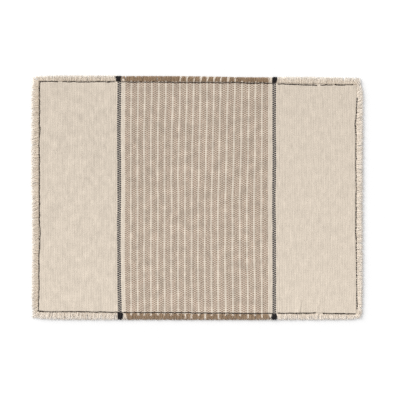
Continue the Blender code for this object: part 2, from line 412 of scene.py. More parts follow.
@dataclass(frozen=True)
class Fold:
    """A small ridge of the cloth that fades from its start to its end, in mm, with a width for each side."""

    start: tuple[float, float]
    end: tuple[float, float]
    height: float
    left_width: float
    right_width: float

    def at(self, x: np.ndarray, y: np.ndarray) -> np.ndarray:
        """How far it lifts the cloth.

        Args:
            x: places across the mat in mm from the middle.
            y: places along it in mm from the middle.

        Returns:
            Heights in mm.
        """
        way = np.subtract(self.end, self.start)
        dx, dy = x - self.start[0], y - self.start[1]
        share = np.clip((dx * way[0] + dy * way[1]) / (way @ way), 0.0, 1.0)
        distance = np.hypot(dx - share * way[0], dy - share * way[1])
        width = np.where(way[0] * dy > way[1] * dx, self.left_width, self.right_width)
        return self.height * (1.0 - share) * np.exp(-((distance / width) ** 2))


@dataclass(frozen=True)
class Lie:
    """How the cloth lies, in mm: its thickness, slow waves, pressed rim, seam and folds at the front."""

    thickness: float = 2.0
    rim_drop: float = 0.4
    rim_width: float = 3.0
    uneven: float = 0.12
    waves: tuple[float, float, float] = (61.0, 47.0, 29.0)
    ridge: Fold = Fold((178.0, -166.0), (152.0, -118.0), 0.35, 5.0, 5.0)
    crease: Fold = Fold((148.6, -167.0), (152.2, -144.0), 1.1, 6.0, 1.5)
    seam_depth: float = 0.3
    seam_width: float = 0.6
    puff_inset: float = 1.6  # the cloth swells beside the seam
    puff_height: float = 0.14
    puff_width: float = 0.9

    def height(self, x: np.ndarray, y: np.ndarray) -> np.ndarray:
        """Height of the cloth's upper face, before the weave's own relief.

        Args:
            x: places across the mat in mm from the middle.
            y: places along it in mm from the middle.

        Returns:
            Heights in mm.
        """
        across, up, aslant = self.waves
        sway = np.sin(x / across) * np.cos(y / up) + np.sin((x + y) / aslant)
        rim = self.rim_drop * (1.0 - np.clip(edge_distance(x, y) / self.rim_width, 0.0, 1.0))
        inset = seam_distance(x, y)
        seam = self.seam_depth * np.exp(-((inset / self.seam_width) ** 2))
        puff = self.puff_height * np.exp(-(((inset - self.puff_inset) / self.puff_width) ** 2))
        folds = self.ridge.at(x, y) + self.crease.at(x, y)
        return self.thickness - rim + self.uneven * sway / 2.0 + folds - seam + puff


LIE = Lie()


def new_object(name: str, mesh: bpy.types.Mesh) -> bpy.types.Object:
    """Links an object with a mesh to the scene at the origin.

    Args:
        name: its name.
        mesh: its mesh.

    Returns:
        The object.
    """
    made = bpy.data.objects.new(name, mesh)
    bpy.context.scene.collection.objects.link(made)
    return made


def add_piece(
    name: str, mesh: bpy.types.Mesh, material: bpy.types.Material, nodes: tuple[str, ...]
) -> bpy.types.Object:
    """Puts a finished mesh on the frame as a piece of the mat.

    Args:
        name: the piece's name.
        mesh: its mesh, in metres in the frame.
        material: its material.
        nodes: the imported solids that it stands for.

    Returns:
        The piece.
    """
    mesh.materials.append(material)
    piece = new_object(name, mesh)
    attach(piece, BODY)
    if nodes:
        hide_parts(*nodes)
    LOG.info("%s: %d faces", name, len(mesh.polygons))
    return piece


def finished(bm: bmesh.types.BMesh, name: str) -> bpy.types.Mesh:
    """Turns a bmesh into a mesh and frees it.

    Args:
        bm: the bmesh.
        name: the mesh's name.

    Returns:
        The mesh.
    """
    mesh = bpy.data.meshes.new(name)
    bm.to_mesh(mesh)
    bm.free()
    return mesh


def read_all(items: bpy.types.bpy_prop_collection, name: str, width: int = 1) -> np.ndarray:
    """Reads a property of every item of a mesh.

    Args:
        items: its vertices, corners or faces.
        name: the property's name.
        width: how many numbers it holds for each item.

    Returns:
        Whole numbers of shape (n,), or decimal ones of shape (n, width) where the width is above 1.
    """
    values = np.zeros(len(items) * width, dtype=float if width > 1 else np.int32)
    items.foreach_get(name, values)
    return values.reshape(-1, width) if width > 1 else values


def mesh_points(mesh: bpy.types.Mesh) -> np.ndarray:
    """A mesh's points as an array of shape (n, 3)."""
    return read_all(mesh.vertices, "co", 3)


def set_uv(mesh: bpy.types.Mesh, name: str, uv: np.ndarray) -> None:
    """Gives a mesh a UV map from an array with a row for each face corner."""
    mesh.uv_layers.new(name=name).data.foreach_set("uv", uv.astype(np.float32).ravel())


# Weave relief: depth below the float's top, as a share of the relief, at the quarters of a pair's width
AT_ROW_MIDDLE = {"warp": (0.6, 0.0, 0.22, 0.0), "weft": (0.6, 0.15, 0.0, 0.15)}
AT_ROW_BORDER = (1.0, 0.55, 0.6, 0.55)


@dataclass(frozen=True)
class Weave:
    """The relief of the paired plain weave on a grid of quarters of a warp pair by halves of a weft pair."""

    quarters: int = 4
    halves: int = 2
    relief: float = 0.42
    relief_spread: float = 0.12
    seed: int = 31
    slub: SlowNoise = SlowNoise(21, 1, 7, 0.07)
    slant: SlowNoise = SlowNoise(22, 2, 3, 0.3)  # how far a float's two yarns end apart, in weft pairs
    warp_swell: float = 0.2  # how far a warp float runs over the next weft, in weft pairs
    charcoal_swell: float = 0.34
    cream_swell: float = 0.1
    weft_swell: float = 0.07  # how far a weft float runs over the next warp, in warp pairs
    charcoal_spread: float = 0.06  # how far a charcoal float runs over the weft beside it, in warp pairs
    cream_share: float = 0.6  # of the relief, where the warp is cream
    taupe_share: float = 0.8
    under_relief: float = 0.28

    def warp_is_up(self, u: np.ndarray, v: np.ndarray) -> np.ndarray:
        """Whether the warp floats over the weft at places in thread coordinates."""
        return (np.floor(u) + np.floor(v)) % 2 == 0

    def in_cell(self, u: np.ndarray, v: np.ndarray) -> tuple[np.ndarray, np.ndarray]:
        """Quarters of a warp pair and halves of a weft pair that each place lies past its cell's corner."""
        quarter, half = np.round(u * self.quarters) % self.quarters, np.round(v * self.halves) % self.halves
        return quarter.astype(int), half.astype(int)

    def swell(self, u: np.ndarray, v: np.ndarray) -> tuple[np.ndarray, np.ndarray]:
        """Rounds the floats off at the borders of their cells.

        Args:
            u: places in pairs of warp from the left edge.
            v: places in pairs of weft from the front edge.

        Returns:
            Shifts of the places in thread coordinates.
        """
        quarter, half = self.in_cell(u, v)
        inside = (u > 0) & (u < COLUMNS) & (v > 0) & (v < ROWS)
        above_is_warp = self.warp_is_up(u, v)
        on_row_border, on_column_border = inside & (half == 0), inside & (quarter == 0)
        rise = self.swell_of(u) * np.sin(quarter / self.quarters * np.pi)
        slant = self.slant.at(u, v) * np.sin(quarter / self.quarters * math.tau)
        dv = np.where(on_row_border, np.where(above_is_warp, -rise, rise) + slant, 0.0)
        beside = self.by_yarn(u - ~above_is_warp, self.weft_swell, self.weft_swell, -self.charcoal_spread)
        reach = np.where(half == 1, beside, 0.0)
        du = np.where(on_column_border, np.where(above_is_warp, reach, -reach), 0.0)
        return du, dv

    def swell_of(self, u: np.ndarray) -> np.ndarray:
        """How far the warp floats of each pair's own yarn run over the next weft."""
        return self.by_yarn(u, self.cream_swell, self.warp_swell, self.charcoal_swell)

    def by_yarn(self, u: np.ndarray, cream: float, taupe: float, charcoal: float) -> np.ndarray:
        """Picks a value by the yarn of the warp pair.

        Args:
            u: places in pairs of warp from the left edge.
            cream: the value where that pair is cream.
            taupe: the value where it belongs to the block.
            charcoal: the value where it is charcoal.

        Returns:
            A value for each place.
        """
        values = {Yarn.CREAM: cream, Yarn.TAUPE: taupe, Yarn.CHARCOAL: charcoal}
        by_pair = np.concatenate([np.full(stretch.pairs, values[stretch.yarn]) for stretch in STRETCHES])
        return by_pair[np.clip(u.astype(int), 0, COLUMNS - 1)]

    def depth(self, u: np.ndarray, v: np.ndarray) -> np.ndarray:
        """Depth of the upper face below its floats' tops.

        Args:
            u: places in pairs of warp from the left edge.
            v: places in pairs of weft from the front edge.

        Returns:
            Depths in mm.
        """
        quarter, half = self.in_cell(u, v)
        warp, weft = np.array(AT_ROW_MIDDLE["warp"]), np.array(AT_ROW_MIDDLE["weft"])
        middle = np.where(self.warp_is_up(u, v), warp[quarter], weft[quarter])
        share = np.where(half == 1, middle, np.array(AT_ROW_BORDER)[quarter])
        rng = np.random.default_rng(self.seed)
        cells = rng.uniform(1.0 - self.relief_spread, 1.0 + self.relief_spread, (COLUMNS + 1, ROWS + 1))
        height = self.slub.at(u, v) * (half == 1)
        relief = self.relief * self.by_yarn(u, self.cream_share, self.taupe_share, 1.0)
        return share * relief * cells[u.astype(int), v.astype(int)] - height

    def under_height(self, u: np.ndarray, v: np.ndarray) -> np.ndarray:
        """Height of the underside in mm: floats touch the floor and the holes between them stand clear."""
        is_middle = (np.round(u * 2) % 2 == 1) & (np.round(v * 2) % 2 == 1)  # of a pair both ways
        return np.where(is_middle, 0.0, self.under_relief)


WEAVE = Weave()
LEVEL = 1e-5  # the most that an edge along u or v may stray on the blank, which is a unit square
WELD = 0.1  # of the finest cell's width, within which the upper and the lower rim are joined


@dataclass(frozen=True)
class ClothPiece:
    """A width of the woven cloth, from one warp pair to another, as a closed sheet."""

    name: str
    first: int
    last: int

    def blank(self) -> bpy.types.Mesh:
        """Lays the piece out on a unit square: fine above (z 1), plainer below (z 0), and closed all round.

        Returns:
            Its mesh.
        """
        pairs = self.last - self.first
        bm = bmesh.new()
        bmesh.ops.create_grid(bm, x_segments=pairs * WEAVE.quarters, y_segments=ROWS * WEAVE.halves, size=0.5)
        for vert in bm.verts:
            vert.co.z = 1.0
        rim = [edge for edge in bm.edges if edge.is_boundary]
        walls = bmesh.ops.extrude_edge_only(bm, edges=rim)["geom"]
        for item in walls:
            if isinstance(item, bmesh.types.BMVert):
                item.co.z = 0.0
        under = bmesh.ops.create_grid(bm, x_segments=pairs, y_segments=ROWS, size=0.5)["verts"]
        faces = list(dict.fromkeys(face for vert in under for face in vert.link_faces))
        border = [edge for face in faces for edge in face.edges if edge.is_boundary]
        along_u = [edge for edge in border if abs(edge.verts[0].co.y - edge.verts[1].co.y) < LEVEL]
        along_v = [edge for edge in border if abs(edge.verts[0].co.x - edge.verts[1].co.x) < LEVEL]
        bmesh.ops.bisect_edges(bm, edges=along_u, cuts=WEAVE.quarters - 1)
        bmesh.ops.bisect_edges(bm, edges=along_v, cuts=WEAVE.halves - 1)
        bmesh.ops.poke(bm, faces=faces)
        rims = [vert for vert in bm.verts if vert.is_boundary]
        bmesh.ops.remove_doubles(bm, verts=rims, dist=WELD / (WEAVE.quarters * COLUMNS))
        bmesh.ops.recalc_face_normals(bm, faces=bm.faces)
        return finished(bm, self.name)

    def threads(self, points: np.ndarray) -> tuple[np.ndarray, np.ndarray]:
        """Thread coordinates of the blank's points.

        Args:
            points: the points, of shape (n, 3).

        Returns:
            Pairs of warp from the left edge, and pairs of weft from the front edge.
        """
        quarters = np.round((points[:, 0] + 0.5) * (self.last - self.first) * WEAVE.quarters)
        halves = np.round((points[:, 1] + 0.5) * ROWS * WEAVE.halves)
        return quarters / WEAVE.quarters + self.first, halves / WEAVE.halves

    def build(self) -> bpy.types.Mesh:
        """Builds the piece at its place on the mat.

        Returns:
            Its mesh, in metres in the frame, with thread coordinates as a UV map, one weft pair on below.
        """
        mesh = self.blank()
        points = mesh_points(mesh)
        u, v = self.threads(points)
        is_upper = points[:, 2] > 0.5
        faces_down = read_all(mesh.polygons, "normal", 3)[:, 2] < -0.5
        is_under = np.repeat(faces_down, read_all(mesh.polygons, "loop_total"))
        corners = read_all(mesh.loops, "vertex_index")
        set_uv(mesh, THREADS, np.stack([u[corners], v[corners] + is_under], axis=1))
        du, dv = WEAVE.swell(u, v)
        x, y = SETT.plan(u + np.where(is_upper, du, 0.0), v + np.where(is_upper, dv, 0.0))
        z = np.where(is_upper, LIE.height(x, y) - WEAVE.depth(u, v), WEAVE.under_height(u, v))
        mesh.vertices.foreach_set("co", seated(np.stack([x, y, z], axis=1)).ravel())
        mesh.shade_smooth()
        mesh.update()
        return mesh

    def flat_size(self) -> tuple[float, float]:
        """The size that the piece was woven to, at its middle.

        Returns:
            Its width and length in metres.
        """
        x, _ = SETT.plan(np.array([self.first, self.last], dtype=float), np.full(2, ROWS / 2))
        _, y = SETT.plan(np.full(2, (self.first + self.last) / 2), np.array([0.0, ROWS]))
        return float(x[1] - x[0]) * MM, float(y[1] - y[0]) * MM


@dataclass(frozen=True)
class Strand:
    """The shape that loose yarns are copied from: a tube along +Z, of unit radius and length."""

    sides: int = 3
    steps: int = 4

    def mesh(self) -> bpy.types.Mesh:
        """Builds the tube, closed at both ends.

        Returns:
            Its mesh.
        """
        bm = bmesh.new()
        bmesh.ops.create_cone(bm, cap_ends=True, segments=self.sides, radius1=1.0, radius2=1.0, depth=1.0)
        long_edges = [edge for edge in bm.edges if abs(edge.verts[0].co.z - edge.verts[1].co.z) > 0.5]
        bmesh.ops.subdivide_edges(bm, edges=long_edges, cuts=self.steps - 1)
        bmesh.ops.recalc_face_normals(bm, faces=bm.faces)
        return finished(bm, "strand")


COPY_OFFSET = (4.0, 0.0, 0.0)  # keeps copies clear of one another until their points are placed
ROUND_SHARE = 0.96  # of the way from one number to the next that a yarn's circumference takes up on STRANDS


def repeated(template: bpy.types.Mesh, count: int, name: str) -> bpy.types.Mesh:
    """Copies a small mesh many times into one, with an Array modifier.

    Args:
        template: the mesh to copy.
        count: the number of copies.
        name: the new mesh's name.

    Returns:
        A mesh with the copies' points one copy after another.
    """
    holder = new_object(name, template)
    array = holder.modifiers.new("copies", "ARRAY")
    array.use_relative_offset = False
    array.use_constant_offset = True
    array.constant_offset_displace = COPY_OFFSET
    array.count = count
    evaluated = holder.evaluated_get(bpy.context.evaluated_depsgraph_get())
    mesh = bpy.data.meshes.new_from_object(evaluated)
    bpy.data.objects.remove(holder)
    mesh.name = name
    return mesh


def copies_at(
    template: bpy.types.Mesh, name: str, points: np.ndarray, angle: np.ndarray, along: np.ndarray
) -> bpy.types.Mesh:
    """Copies a small mesh of thread and puts the copies in their places.

    Args:
        template: the mesh to copy, which is removed.
        name: the new mesh's name.
        points: places of every copy's points in mm, of shape (n, 3), one copy after another.
        angle: angle round the thread of each of the template's points, in radians.
        along: how far along the thread each of them lies, from 0 to 1.

    Returns:
        The copies as one mesh, in metres in the frame, with their STRANDS map.
    """
    size = len(template.vertices)
    mesh = repeated(template, len(points) // size, name)
    mesh.vertices.foreach_set("co", seated(points).ravel())
    corners = read_all(mesh.loops, "vertex_index")
    copy, vertex = corners // size, corners % size
    round_it = angle / math.tau * ROUND_SHARE + 0.5
    set_uv(mesh, STRANDS, np.stack([copy + round_it[vertex], along[vertex]], axis=1))
    mesh.shade_smooth()
    mesh.update()
    bpy.data.meshes.remove(template)
    return mesh


@dataclass
class StrandSet:
    """Loose yarns of one piece, each with its line's points, its radius there and its number."""

    name: str
    lines: np.ndarray  # (count, steps + 1, 3), in mm
    radii: np.ndarray  # (count, steps + 1), in mm
    flatness: float = 0.62  # height of a wisp's section as a share of its width
    lowest: float = 0.02  # mm above the floor
    template: Strand = field(default_factory=Strand)

    def build(self) -> bpy.types.Mesh:
        """Builds the yarns as tubes.

        Returns:
            The joined tubes, in metres in the frame, with their STRANDS map.
        """
        small = self.template.mesh()
        local = mesh_points(small)
        rings = self.lines.shape[1]
        ring = np.round((local[:, 2] + 0.5) * (rings - 1)).astype(int)
        angle = np.arctan2(local[:, 1], -local[:, 0])  # mirrored, as aside, up and the line are left-handed
        tangents = np.gradient(self.lines, axis=1)
        tangents /= np.linalg.norm(tangents, axis=2, keepdims=True)
        aside = np.cross(tangents, (0.0, 0.0, 1.0))
        aside /= np.linalg.norm(aside, axis=2, keepdims=True)
        up = np.cross(aside, tangents)
        radius = self.radii[:, ring, None]
        points = self.lines[:, ring] + radius * (
            np.cos(angle)[None, :, None] * aside[:, ring]
            + self.flatness * np.sin(angle)[None, :, None] * up[:, ring]
        )
        points = points.reshape(-1, 3)
        points[:, 2] = np.maximum(points[:, 2], self.lowest)
        return copies_at(small, self.name, points, angle, ring / (rings - 1))


@dataclass(frozen=True)
class Leans:
    """Leans of a run's yarns towards the side's end, in degrees, or how far they are set aside, in mm: of its
    first, those between and its last, with the mm over which the first and last give way to the others."""

    first: float
    between: float
    last: float
    way: float = 9.0

    def at(self, root: np.ndarray) -> np.ndarray:
        """Reads the values for a run's yarns.

        Args:
            root: places of the yarns along the side in mm.

        Returns:
            A value for each yarn.
        """
        low, high = root.min(), root.max()
        if high - low < 2 * self.way:
            return np.full(len(root), self.between)
        places = [low, low + self.way, high - self.way, high]
        return np.interp(root, places, [self.first, self.between, self.between, self.last])


NOT_ASIDE = Leans(0.0, 0.0, 0.0)


@dataclass(frozen=True)
class Bunch:
    """How the block's ends lie at a place along a side: the spread of each taupe band's ends, and how far the
    pinstripe's ends reach between them, as shares."""

    along: float
    spread: float
    pinstripe: float


@dataclass(frozen=True)
class Run:
    """Loose yarn ends of one kind along a side, from one thread number to another."""

    node: str
    side: Side
    first: int
    last: int
    yarn: Yarn
    leans: Leans
    bunches: tuple[Bunch, ...] = ()
    opening: float = 0.9  # power of the way along at which a bunch opens: below 1 for early
    closing: float = 0.0  # share of a bunch's opening that is lost again at the tips
    rounding: float = 0.0  # how much shorter a bunch's outermost wisps are, as a share
    asides: Leans = NOT_ASIDE
    length: float = 1.0  # share of the way to the tips' line
    loose_end: float = 0.0  # mm at the run's end where its locks curl and part


LEANS_AT_BACK = {
    "cream_left": Leans(3, 3, -12),
    "charcoal_left": Leans(4, 4, 4),
    "strip_left": Leans(-16, -16, -16),
    "taupe": Leans(-10, 7, 9),
    "strip_right": Leans(9, 9, 9),
    "charcoal_right": Leans(9, 9, 9),
    "cream_right": Leans(16, 5, 3),
}
LEANS_AT_FRONT = {
    "cream_left": Leans(-6, -5, -2),
    "charcoal_left": Leans(2, 2, 2),
    "strip_left": Leans(11, 11, 11),
    "taupe": Leans(10, 0, -4),
    "strip_right": Leans(-4, -4, -4),
    "charcoal_right": Leans(-3, -3, -3),
    "cream_right": Leans(9, 3, 3),
}
LEANS_AT_LEFT = Leans(-30, -12, -6, 80.0)
LEANS_AT_RIGHT = Leans(-12, 0, 42, 75.0)
ASIDES = {"fringe_back_charcoal_left": Leans(-1.9, -1.9, -1.9), "fringe_back_taupe": Leans(-3.4, 0.0, 0.0)}
LOOSE_ENDS = {"fringe_back_cream_right": 13.0, "fringe_right": 60.0}
LENGTHS = {"fringe_back_strip_left": 0.45, "fringe_front_charcoal_left": 0.98}
OPENINGS = {"fringe_back_taupe": 0.3, "fringe_front_taupe": 0.4}


@dataclass(frozen=True)
class Tuft:
    """The shape of a charcoal band's tuft: how far its ends spread, how early, how much they close again, and
    how much shorter its outermost ends are."""

    spread: float
    opening: float
    closing: float
    rounding: float


TUFTS = {
    "fringe_back_charcoal_left": Tuft(1.4, 0.4, 0.0, 0.1),
    "fringe_back_charcoal_right": Tuft(1.05, 0.2, 0.0, 0.1),
    "fringe_front_charcoal_left": Tuft(1.7, 0.6, 0.55, 0.35),
    "fringe_front_charcoal_right": Tuft(1.3, 0.9, 0.0, 0.2),
}
BUNCHES_AT_BACK = (
    Bunch(-105, 1.95, 0.1),
    Bunch(-33, 1.95, 0.1),
    Bunch(-29, 1.0, 1.0),
    Bunch(55, 1.0, 1.0),
    Bunch(58, 1.6, 0.15),
    Bunch(98, 1.6, 0.15),
    Bunch(101, 1.2, 1.0),
)
GAPS_AT_FRONT = (-17.6, -8.8, 11.6, 31.4, 74.5, 94.2)  # mm across, where the block's front ends part
DENSE = (1.75, 0.32)  # a bunch's spread and its pinstripe's reach
PARTED = (1.05, 0.85)
ROUND_A_GAP = ((-4.0, DENSE), (-2.0, PARTED), (2.0, PARTED), (4.0, DENSE))  # by mm from the gap's middle


def bunches_at_front() -> tuple[Bunch, ...]:
    """The lie of the block's ends along the front: dense, but for the places where they part."""
    return tuple(Bunch(gap + off, *lie) for gap in GAPS_AT_FRONT for off, lie in ROUND_A_GAP)


def fringe_runs() -> list[Run]:
    """Lists the runs of the fringe: seven along the back, seven along the front, and the two short sides.

    Returns:
        The runs, in the order in which they are built.
    """
    runs = []
    sides = ((BACK, LEANS_AT_BACK, BUNCHES_AT_BACK), (FRONT, LEANS_AT_FRONT, bunches_at_front()))
    for side, leans, bunches in sides:
        for stretch in STRETCHES:
            node = f"fringe_{side.name}_{stretch.name}"
            first = first_pair(stretch.name)
            run = Run(node, side, first, first + stretch.pairs, stretch.yarn, leans[stretch.name])
            if stretch.yarn is Yarn.TAUPE:
                run = replace(run, bunches=bunches, opening=OPENINGS[node])
            if stretch.yarn is Yarn.CHARCOAL:
                tuft = TUFTS[node]
                run = replace(run, bunches=(Bunch(0.0, tuft.spread, 1.0),), opening=tuft.opening)
                run = replace(run, closing=tuft.closing, rounding=tuft.rounding)
            runs.append(run)
    runs.append(Run("fringe_left", LEFT, 0, ROWS, Yarn.CREAM, LEANS_AT_LEFT))
    runs.append(Run("fringe_right", RIGHT, 0, ROWS, Yarn.CREAM, LEANS_AT_RIGHT))
    return [
        replace(
            run,
            asides=ASIDES.get(run.node, NOT_ASIDE),
            length=LENGTHS.get(run.node, 1.0),
            loose_end=LOOSE_ENDS.get(run.node, 0.0),
        )
        for run in runs
    ]


@dataclass
class Ends:
    """The wisps of a run's yarn ends: where each leaves the cloth and how it is to lie, in mm and degrees."""

    root: np.ndarray  # place along the side
    edge: np.ndarray  # the cloth's edge there, outwards
    shift: np.ndarray  # how far the tip is carried along the side by its bunch
    curl: np.ndarray  # size of its curl
    lean: np.ndarray
    reach: np.ndarray  # the tips' line, outwards
    share: np.ndarray  # how much of the way to that line the wisp goes
    is_cream: np.ndarray  # whether it belongs to a pinstripe
    is_loose: np.ndarray  # whether it gathers in chance locks, of which only the upper wisps take part
    phase: np.ndarray  # where its curl starts, in radians, alike in a lock


@dataclass(frozen=True)
class Lift:
    """Heights in mm of a side's lowest and highest wisps, at the root and at the tip."""

    root: tuple[float, float]
    tip: tuple[float, float]


LIFTS = {
    "back": Lift((0.5, 1.7), (0.4, 1.3)),
    "left": Lift((0.5, 1.7), (0.4, 1.3)),
    "front": Lift((0.5, 1.5), (0.9, 2.0)),
    "right": Lift((0.5, 1.4), (1.2, 2.4)),
}


@dataclass(frozen=True)
class Fringe:
    """The self fringe: how its yarn ends fray, lean, gather in clumps and lie down, in mm and degrees. A pair
    of values is for the lowest and the highest wisps, unless it says otherwise."""

    wisps_in_warp: int = 4
    wisps_in_taupe: int = 6
    wisps_in_tuft: int = 14
    wisps_in_weft: int = 3
    root_inset: float = 0.3
    root_cover: float = 0.7  # how much further in the highest wisps start, over the cloth's rim
    root_spreads: tuple[float, float] = (0.62, 0.4)  # of warp ends and of weft ends
    tuft_root_spread: float = 1.1
    tuft_lift: float = 0.5
    arch: float = 0.25
    radii: tuple[float, float] = (0.95, 0.45)
    tip_share: float = 0.62  # radius at the tip as a share of that at the root
    lifted_tip_share: float = 0.5
    over: float = 1.05  # length of the longest wisps as a share of the way to the tips' line
    shortest: float = 0.84  # square of the shortest wisps' share of that length
    shortest_left: float = 0.7
    shortest_lifted: float = 0.68
    lean_jitter: tuple[float, float] = (8.0, 3.5)
    steepest: float = 65.0
    early_lean: float = 0.6  # share of its lean that a wisp has from the root on
    bend: float = 0.12
    clump: tuple[float, float] = (2.0, 5.0)  # the narrowest and the widest
    clump_pulls: tuple[float, float] = (0.35, 0.8)  # of firm and of loose wisps
    clump_lean: float = 6.0
    bunch_lean: float = 4.0
    free_below: float = 1.2  # a bunch's spread below which it takes a lean of its own
    curls: tuple[float, float] = (0.4, 1.5)  # of firm and of loose wisps
    curl_turn: float = 6.0  # radians from root to tip
    curl_jitter: float = 0.4
    phase_jitter: float = 0.3
    least_loose_end: float = 0.01  # stands in where a run has none, as it is divided by

    def yarn_places(self, run: Run) -> tuple[np.ndarray, np.ndarray]:
        """Thread coordinates of a run's yarns where they leave the cloth.

        Args:
            run: the run of yarn ends.

        Returns:
            Pairs of warp from the left edge, and pairs of weft from the front edge.
        """
        ends = (np.arange(run.first * YARNS_IN_PAIR, run.last * YARNS_IN_PAIR) + 0.5) / YARNS_IN_PAIR
        if run.side.along[0]:
            return ends, np.full(len(ends), ROWS if run.side is BACK else 0.0)
        return np.full(len(ends), COLUMNS if run.side is RIGHT else 0.0), ends

    def wisps(self, run: Run) -> int:
        """Number of wisps that each of a run's yarns frays into.

        Args:
            run: the run of yarn ends.

        Returns:
            The number.
        """
        if run.yarn is not Yarn.CREAM:
            return self.wisps_in_tuft if run.yarn is Yarn.CHARCOAL else self.wisps_in_taupe
        return self.wisps_in_warp if run.side.along[0] else self.wisps_in_weft

    def clumped(
        self, root: np.ndarray, looseness: np.ndarray, rng: np.random.Generator
    ) -> tuple[np.ndarray, np.ndarray, np.ndarray]:
        """Gathers wisps in chance clumps.

        Args:
            root: places of the wisps along the side.
            looseness: how loose each lies, from 0 to 1.
            rng: the run's own random numbers.

        Returns:
            How far each wisp's tip is carried, the lean of its clump, and the phase of its clump's curl.
        """
        count = int(np.ptp(root) / self.clump[0]) + 2
        breaks = np.cumsum(rng.uniform(*self.clump, count)) + root.min()
        group = np.searchsorted(breaks, root)
        middles = np.array([root[group == i].mean() if (group == i).any() else 0.0 for i in range(count + 1)])
        lean = rng.normal(0.0, self.clump_lean, count + 1)
        phase = rng.uniform(0.0, math.tau, count + 1)
        return blend(self.clump_pulls, looseness) * (middles[group] - root), lean[group], phase[group]

    def bunched(
        self, run: Run, u: np.ndarray, root: np.ndarray, rng: np.random.Generator
    ) -> tuple[np.ndarray, np.ndarray, np.ndarray, np.ndarray]:
        """Gathers wisps in a bunch for each band, with the pinstripes' wisps between them.

        Args:
            run: the run, which has bunches.
            u: the warp pair of each wisp.
            root: places of the wisps along the side.
            rng: the run's own random numbers.

        Returns:
            How far each wisp's tip is carried, the lean of its bunch, its share of the way to the tips' line,
            and whether it belongs to a pinstripe.
        """
        place = np.floor(u) - run.first
        is_cream = (place % PINSTRIPE_REPEAT == PINSTRIPE_REPEAT - 1) & (run.yarn is Yarn.TAUPE)
        band = (place // PINSTRIPE_REPEAT).astype(int)
        middles = np.array([root[(band == i) & ~is_cream].mean() for i in range(band.max() + 1)])
        along = [bunch.along for bunch in run.bunches]
        spread = np.interp(root, along, [bunch.spread for bunch in run.bunches])
        reached = np.interp(root, along, [bunch.pinstripe for bunch in run.bunches])
        shift = np.where(is_cream, 0.0, (spread - 1.0) * (root - middles[band]))
        off_middle = (root - middles[band]) / np.ptp(root[band == 0]) * 2.0
        share = np.where(is_cream, reached, run.length * (1.0 - run.rounding * off_middle**2))
        own = rng.normal(0.0, self.bunch_lean, band.max() + 1)[band] * (spread < self.free_below)
        return shift, own, share, is_cream

    def ends(self, run: Run, rng: np.random.Generator) -> Ends:
        """Works out how each wisp of a run lies.

        Args:
            run: the run of yarn ends.
            rng: the run's own random numbers.

        Returns:
            The wisps' ends.
        """
        u, v = self.yarn_places(run)
        x, y = SETT.plan(u, v)
        yarn_root = x * run.side.along[0] + y * run.side.along[1]
        yarn_edge = x * run.side.outward[0] + y * run.side.outward[1]
        u, root, edge = (np.repeat(column, self.wisps(run)) for column in (u, yarn_root, yarn_edge))
        spread = self.root_spreads[0] if run.side.along[0] else self.root_spreads[1]
        spread = self.tuft_root_spread if run.yarn is Yarn.CHARCOAL else spread
        root = root + rng.uniform(-spread, spread, len(root))
        from_end = (root.max() - root) / max(run.loose_end, self.least_loose_end)
        looseness = np.sqrt(np.clip(1.0 - from_end, 0.0, 1.0))
        lean, aside = run.leans.at(root), run.asides.at(root)
        shift, own, phase = self.clumped(root, looseness, rng)
        share, is_cream = np.full(len(u), run.length), np.zeros(len(u), dtype=bool)
        if run.bunches:
            shift, own, share, is_cream = self.bunched(run, u, root, rng)
        lean = run.side.turned(root, lean + own)
        is_loose = np.full(len(u), not run.bunches)
        curl, reach = blend(self.curls, looseness), run.side.read("reach", root)
        return Ends(root + aside, edge, shift, curl, lean, reach, share, is_cream, is_loose, phase)

    def lines(self, run: Run, ends: Ends, rng: np.random.Generator) -> tuple[np.ndarray, np.ndarray]:
        """Draws the wisps of a run.

        Args:
            run: the run of yarn ends.
            ends: how its wisps lie.
            rng: the run's own random numbers.

        Returns:
            Lines of shape (count, steps + 1, 3) and radii of shape (count, steps + 1), in mm.
        """
        count = len(ends.root)
        is_lifted = run.side in (FRONT, RIGHT)
        s = np.linspace(0.0, 1.0, Strand().steps + 1)[None, :]
        layer = rng.uniform(0.0, 1.0, count)  # 0 for the lowest wisps, which are thickest and least in clumps
        inset = self.root_inset + self.root_cover * layer
        shortest = self.shortest_left if run.side is LEFT else self.shortest
        shortest = self.shortest_lifted if is_lifted else shortest
        reach = (ends.reach - ends.edge) * self.over * ends.share
        length = (reach * np.sqrt(rng.uniform(shortest, 1.0, count)) + inset)[:, None]
        lean = ends.lean + rng.normal(0.0, blend(self.lean_jitter, layer))
        slope = np.tan(np.radians(np.clip(lean, -self.steepest, self.steepest)))[:, None]
        phase = (ends.phase + rng.normal(0.0, self.phase_jitter, count))[:, None]
        size = (ends.curl * rng.normal(1.0, self.curl_jitter, count))[:, None]
        curl = size * np.sin(phase + s * self.curl_turn) * s
        bend = rng.normal(0.0, self.bend, count)[:, None]
        gathered = np.where(ends.is_loose, ease(layer), 1.0)[:, None]
        along = ends.root[:, None] + length * (slope * s * blend((self.early_lean, 1.0), s) + bend * s * s)
        along += gathered * ends.shift[:, None] * (s**run.opening - run.closing * s**2) + gathered * curl
        out = (ends.edge - inset)[:, None] + length * s
        layer = layer[:, None]
        lift = LIFTS[run.side.name]
        root_z, tip_z = blend(lift.root, layer), blend(lift.tip, layer)
        tip_z += self.tuft_lift * (run.yarn is Yarn.CHARCOAL)
        arch = self.arch * np.sin(np.pi * s) * rng.uniform(0.0, 1.0, count)[:, None] * layer
        along_way, out_way = np.append(run.side.along, 0.0), np.append(run.side.outward, 0.0)
        lines = along[..., None] * along_way + out[..., None] * out_way
        lines[..., 2] += root_z + (tip_z - root_z) * s + arch
        tip_share = self.lifted_tip_share if is_lifted else self.tip_share
        return lines, blend(self.radii, layer) * (1.0 - (1.0 - tip_share) * s**2)

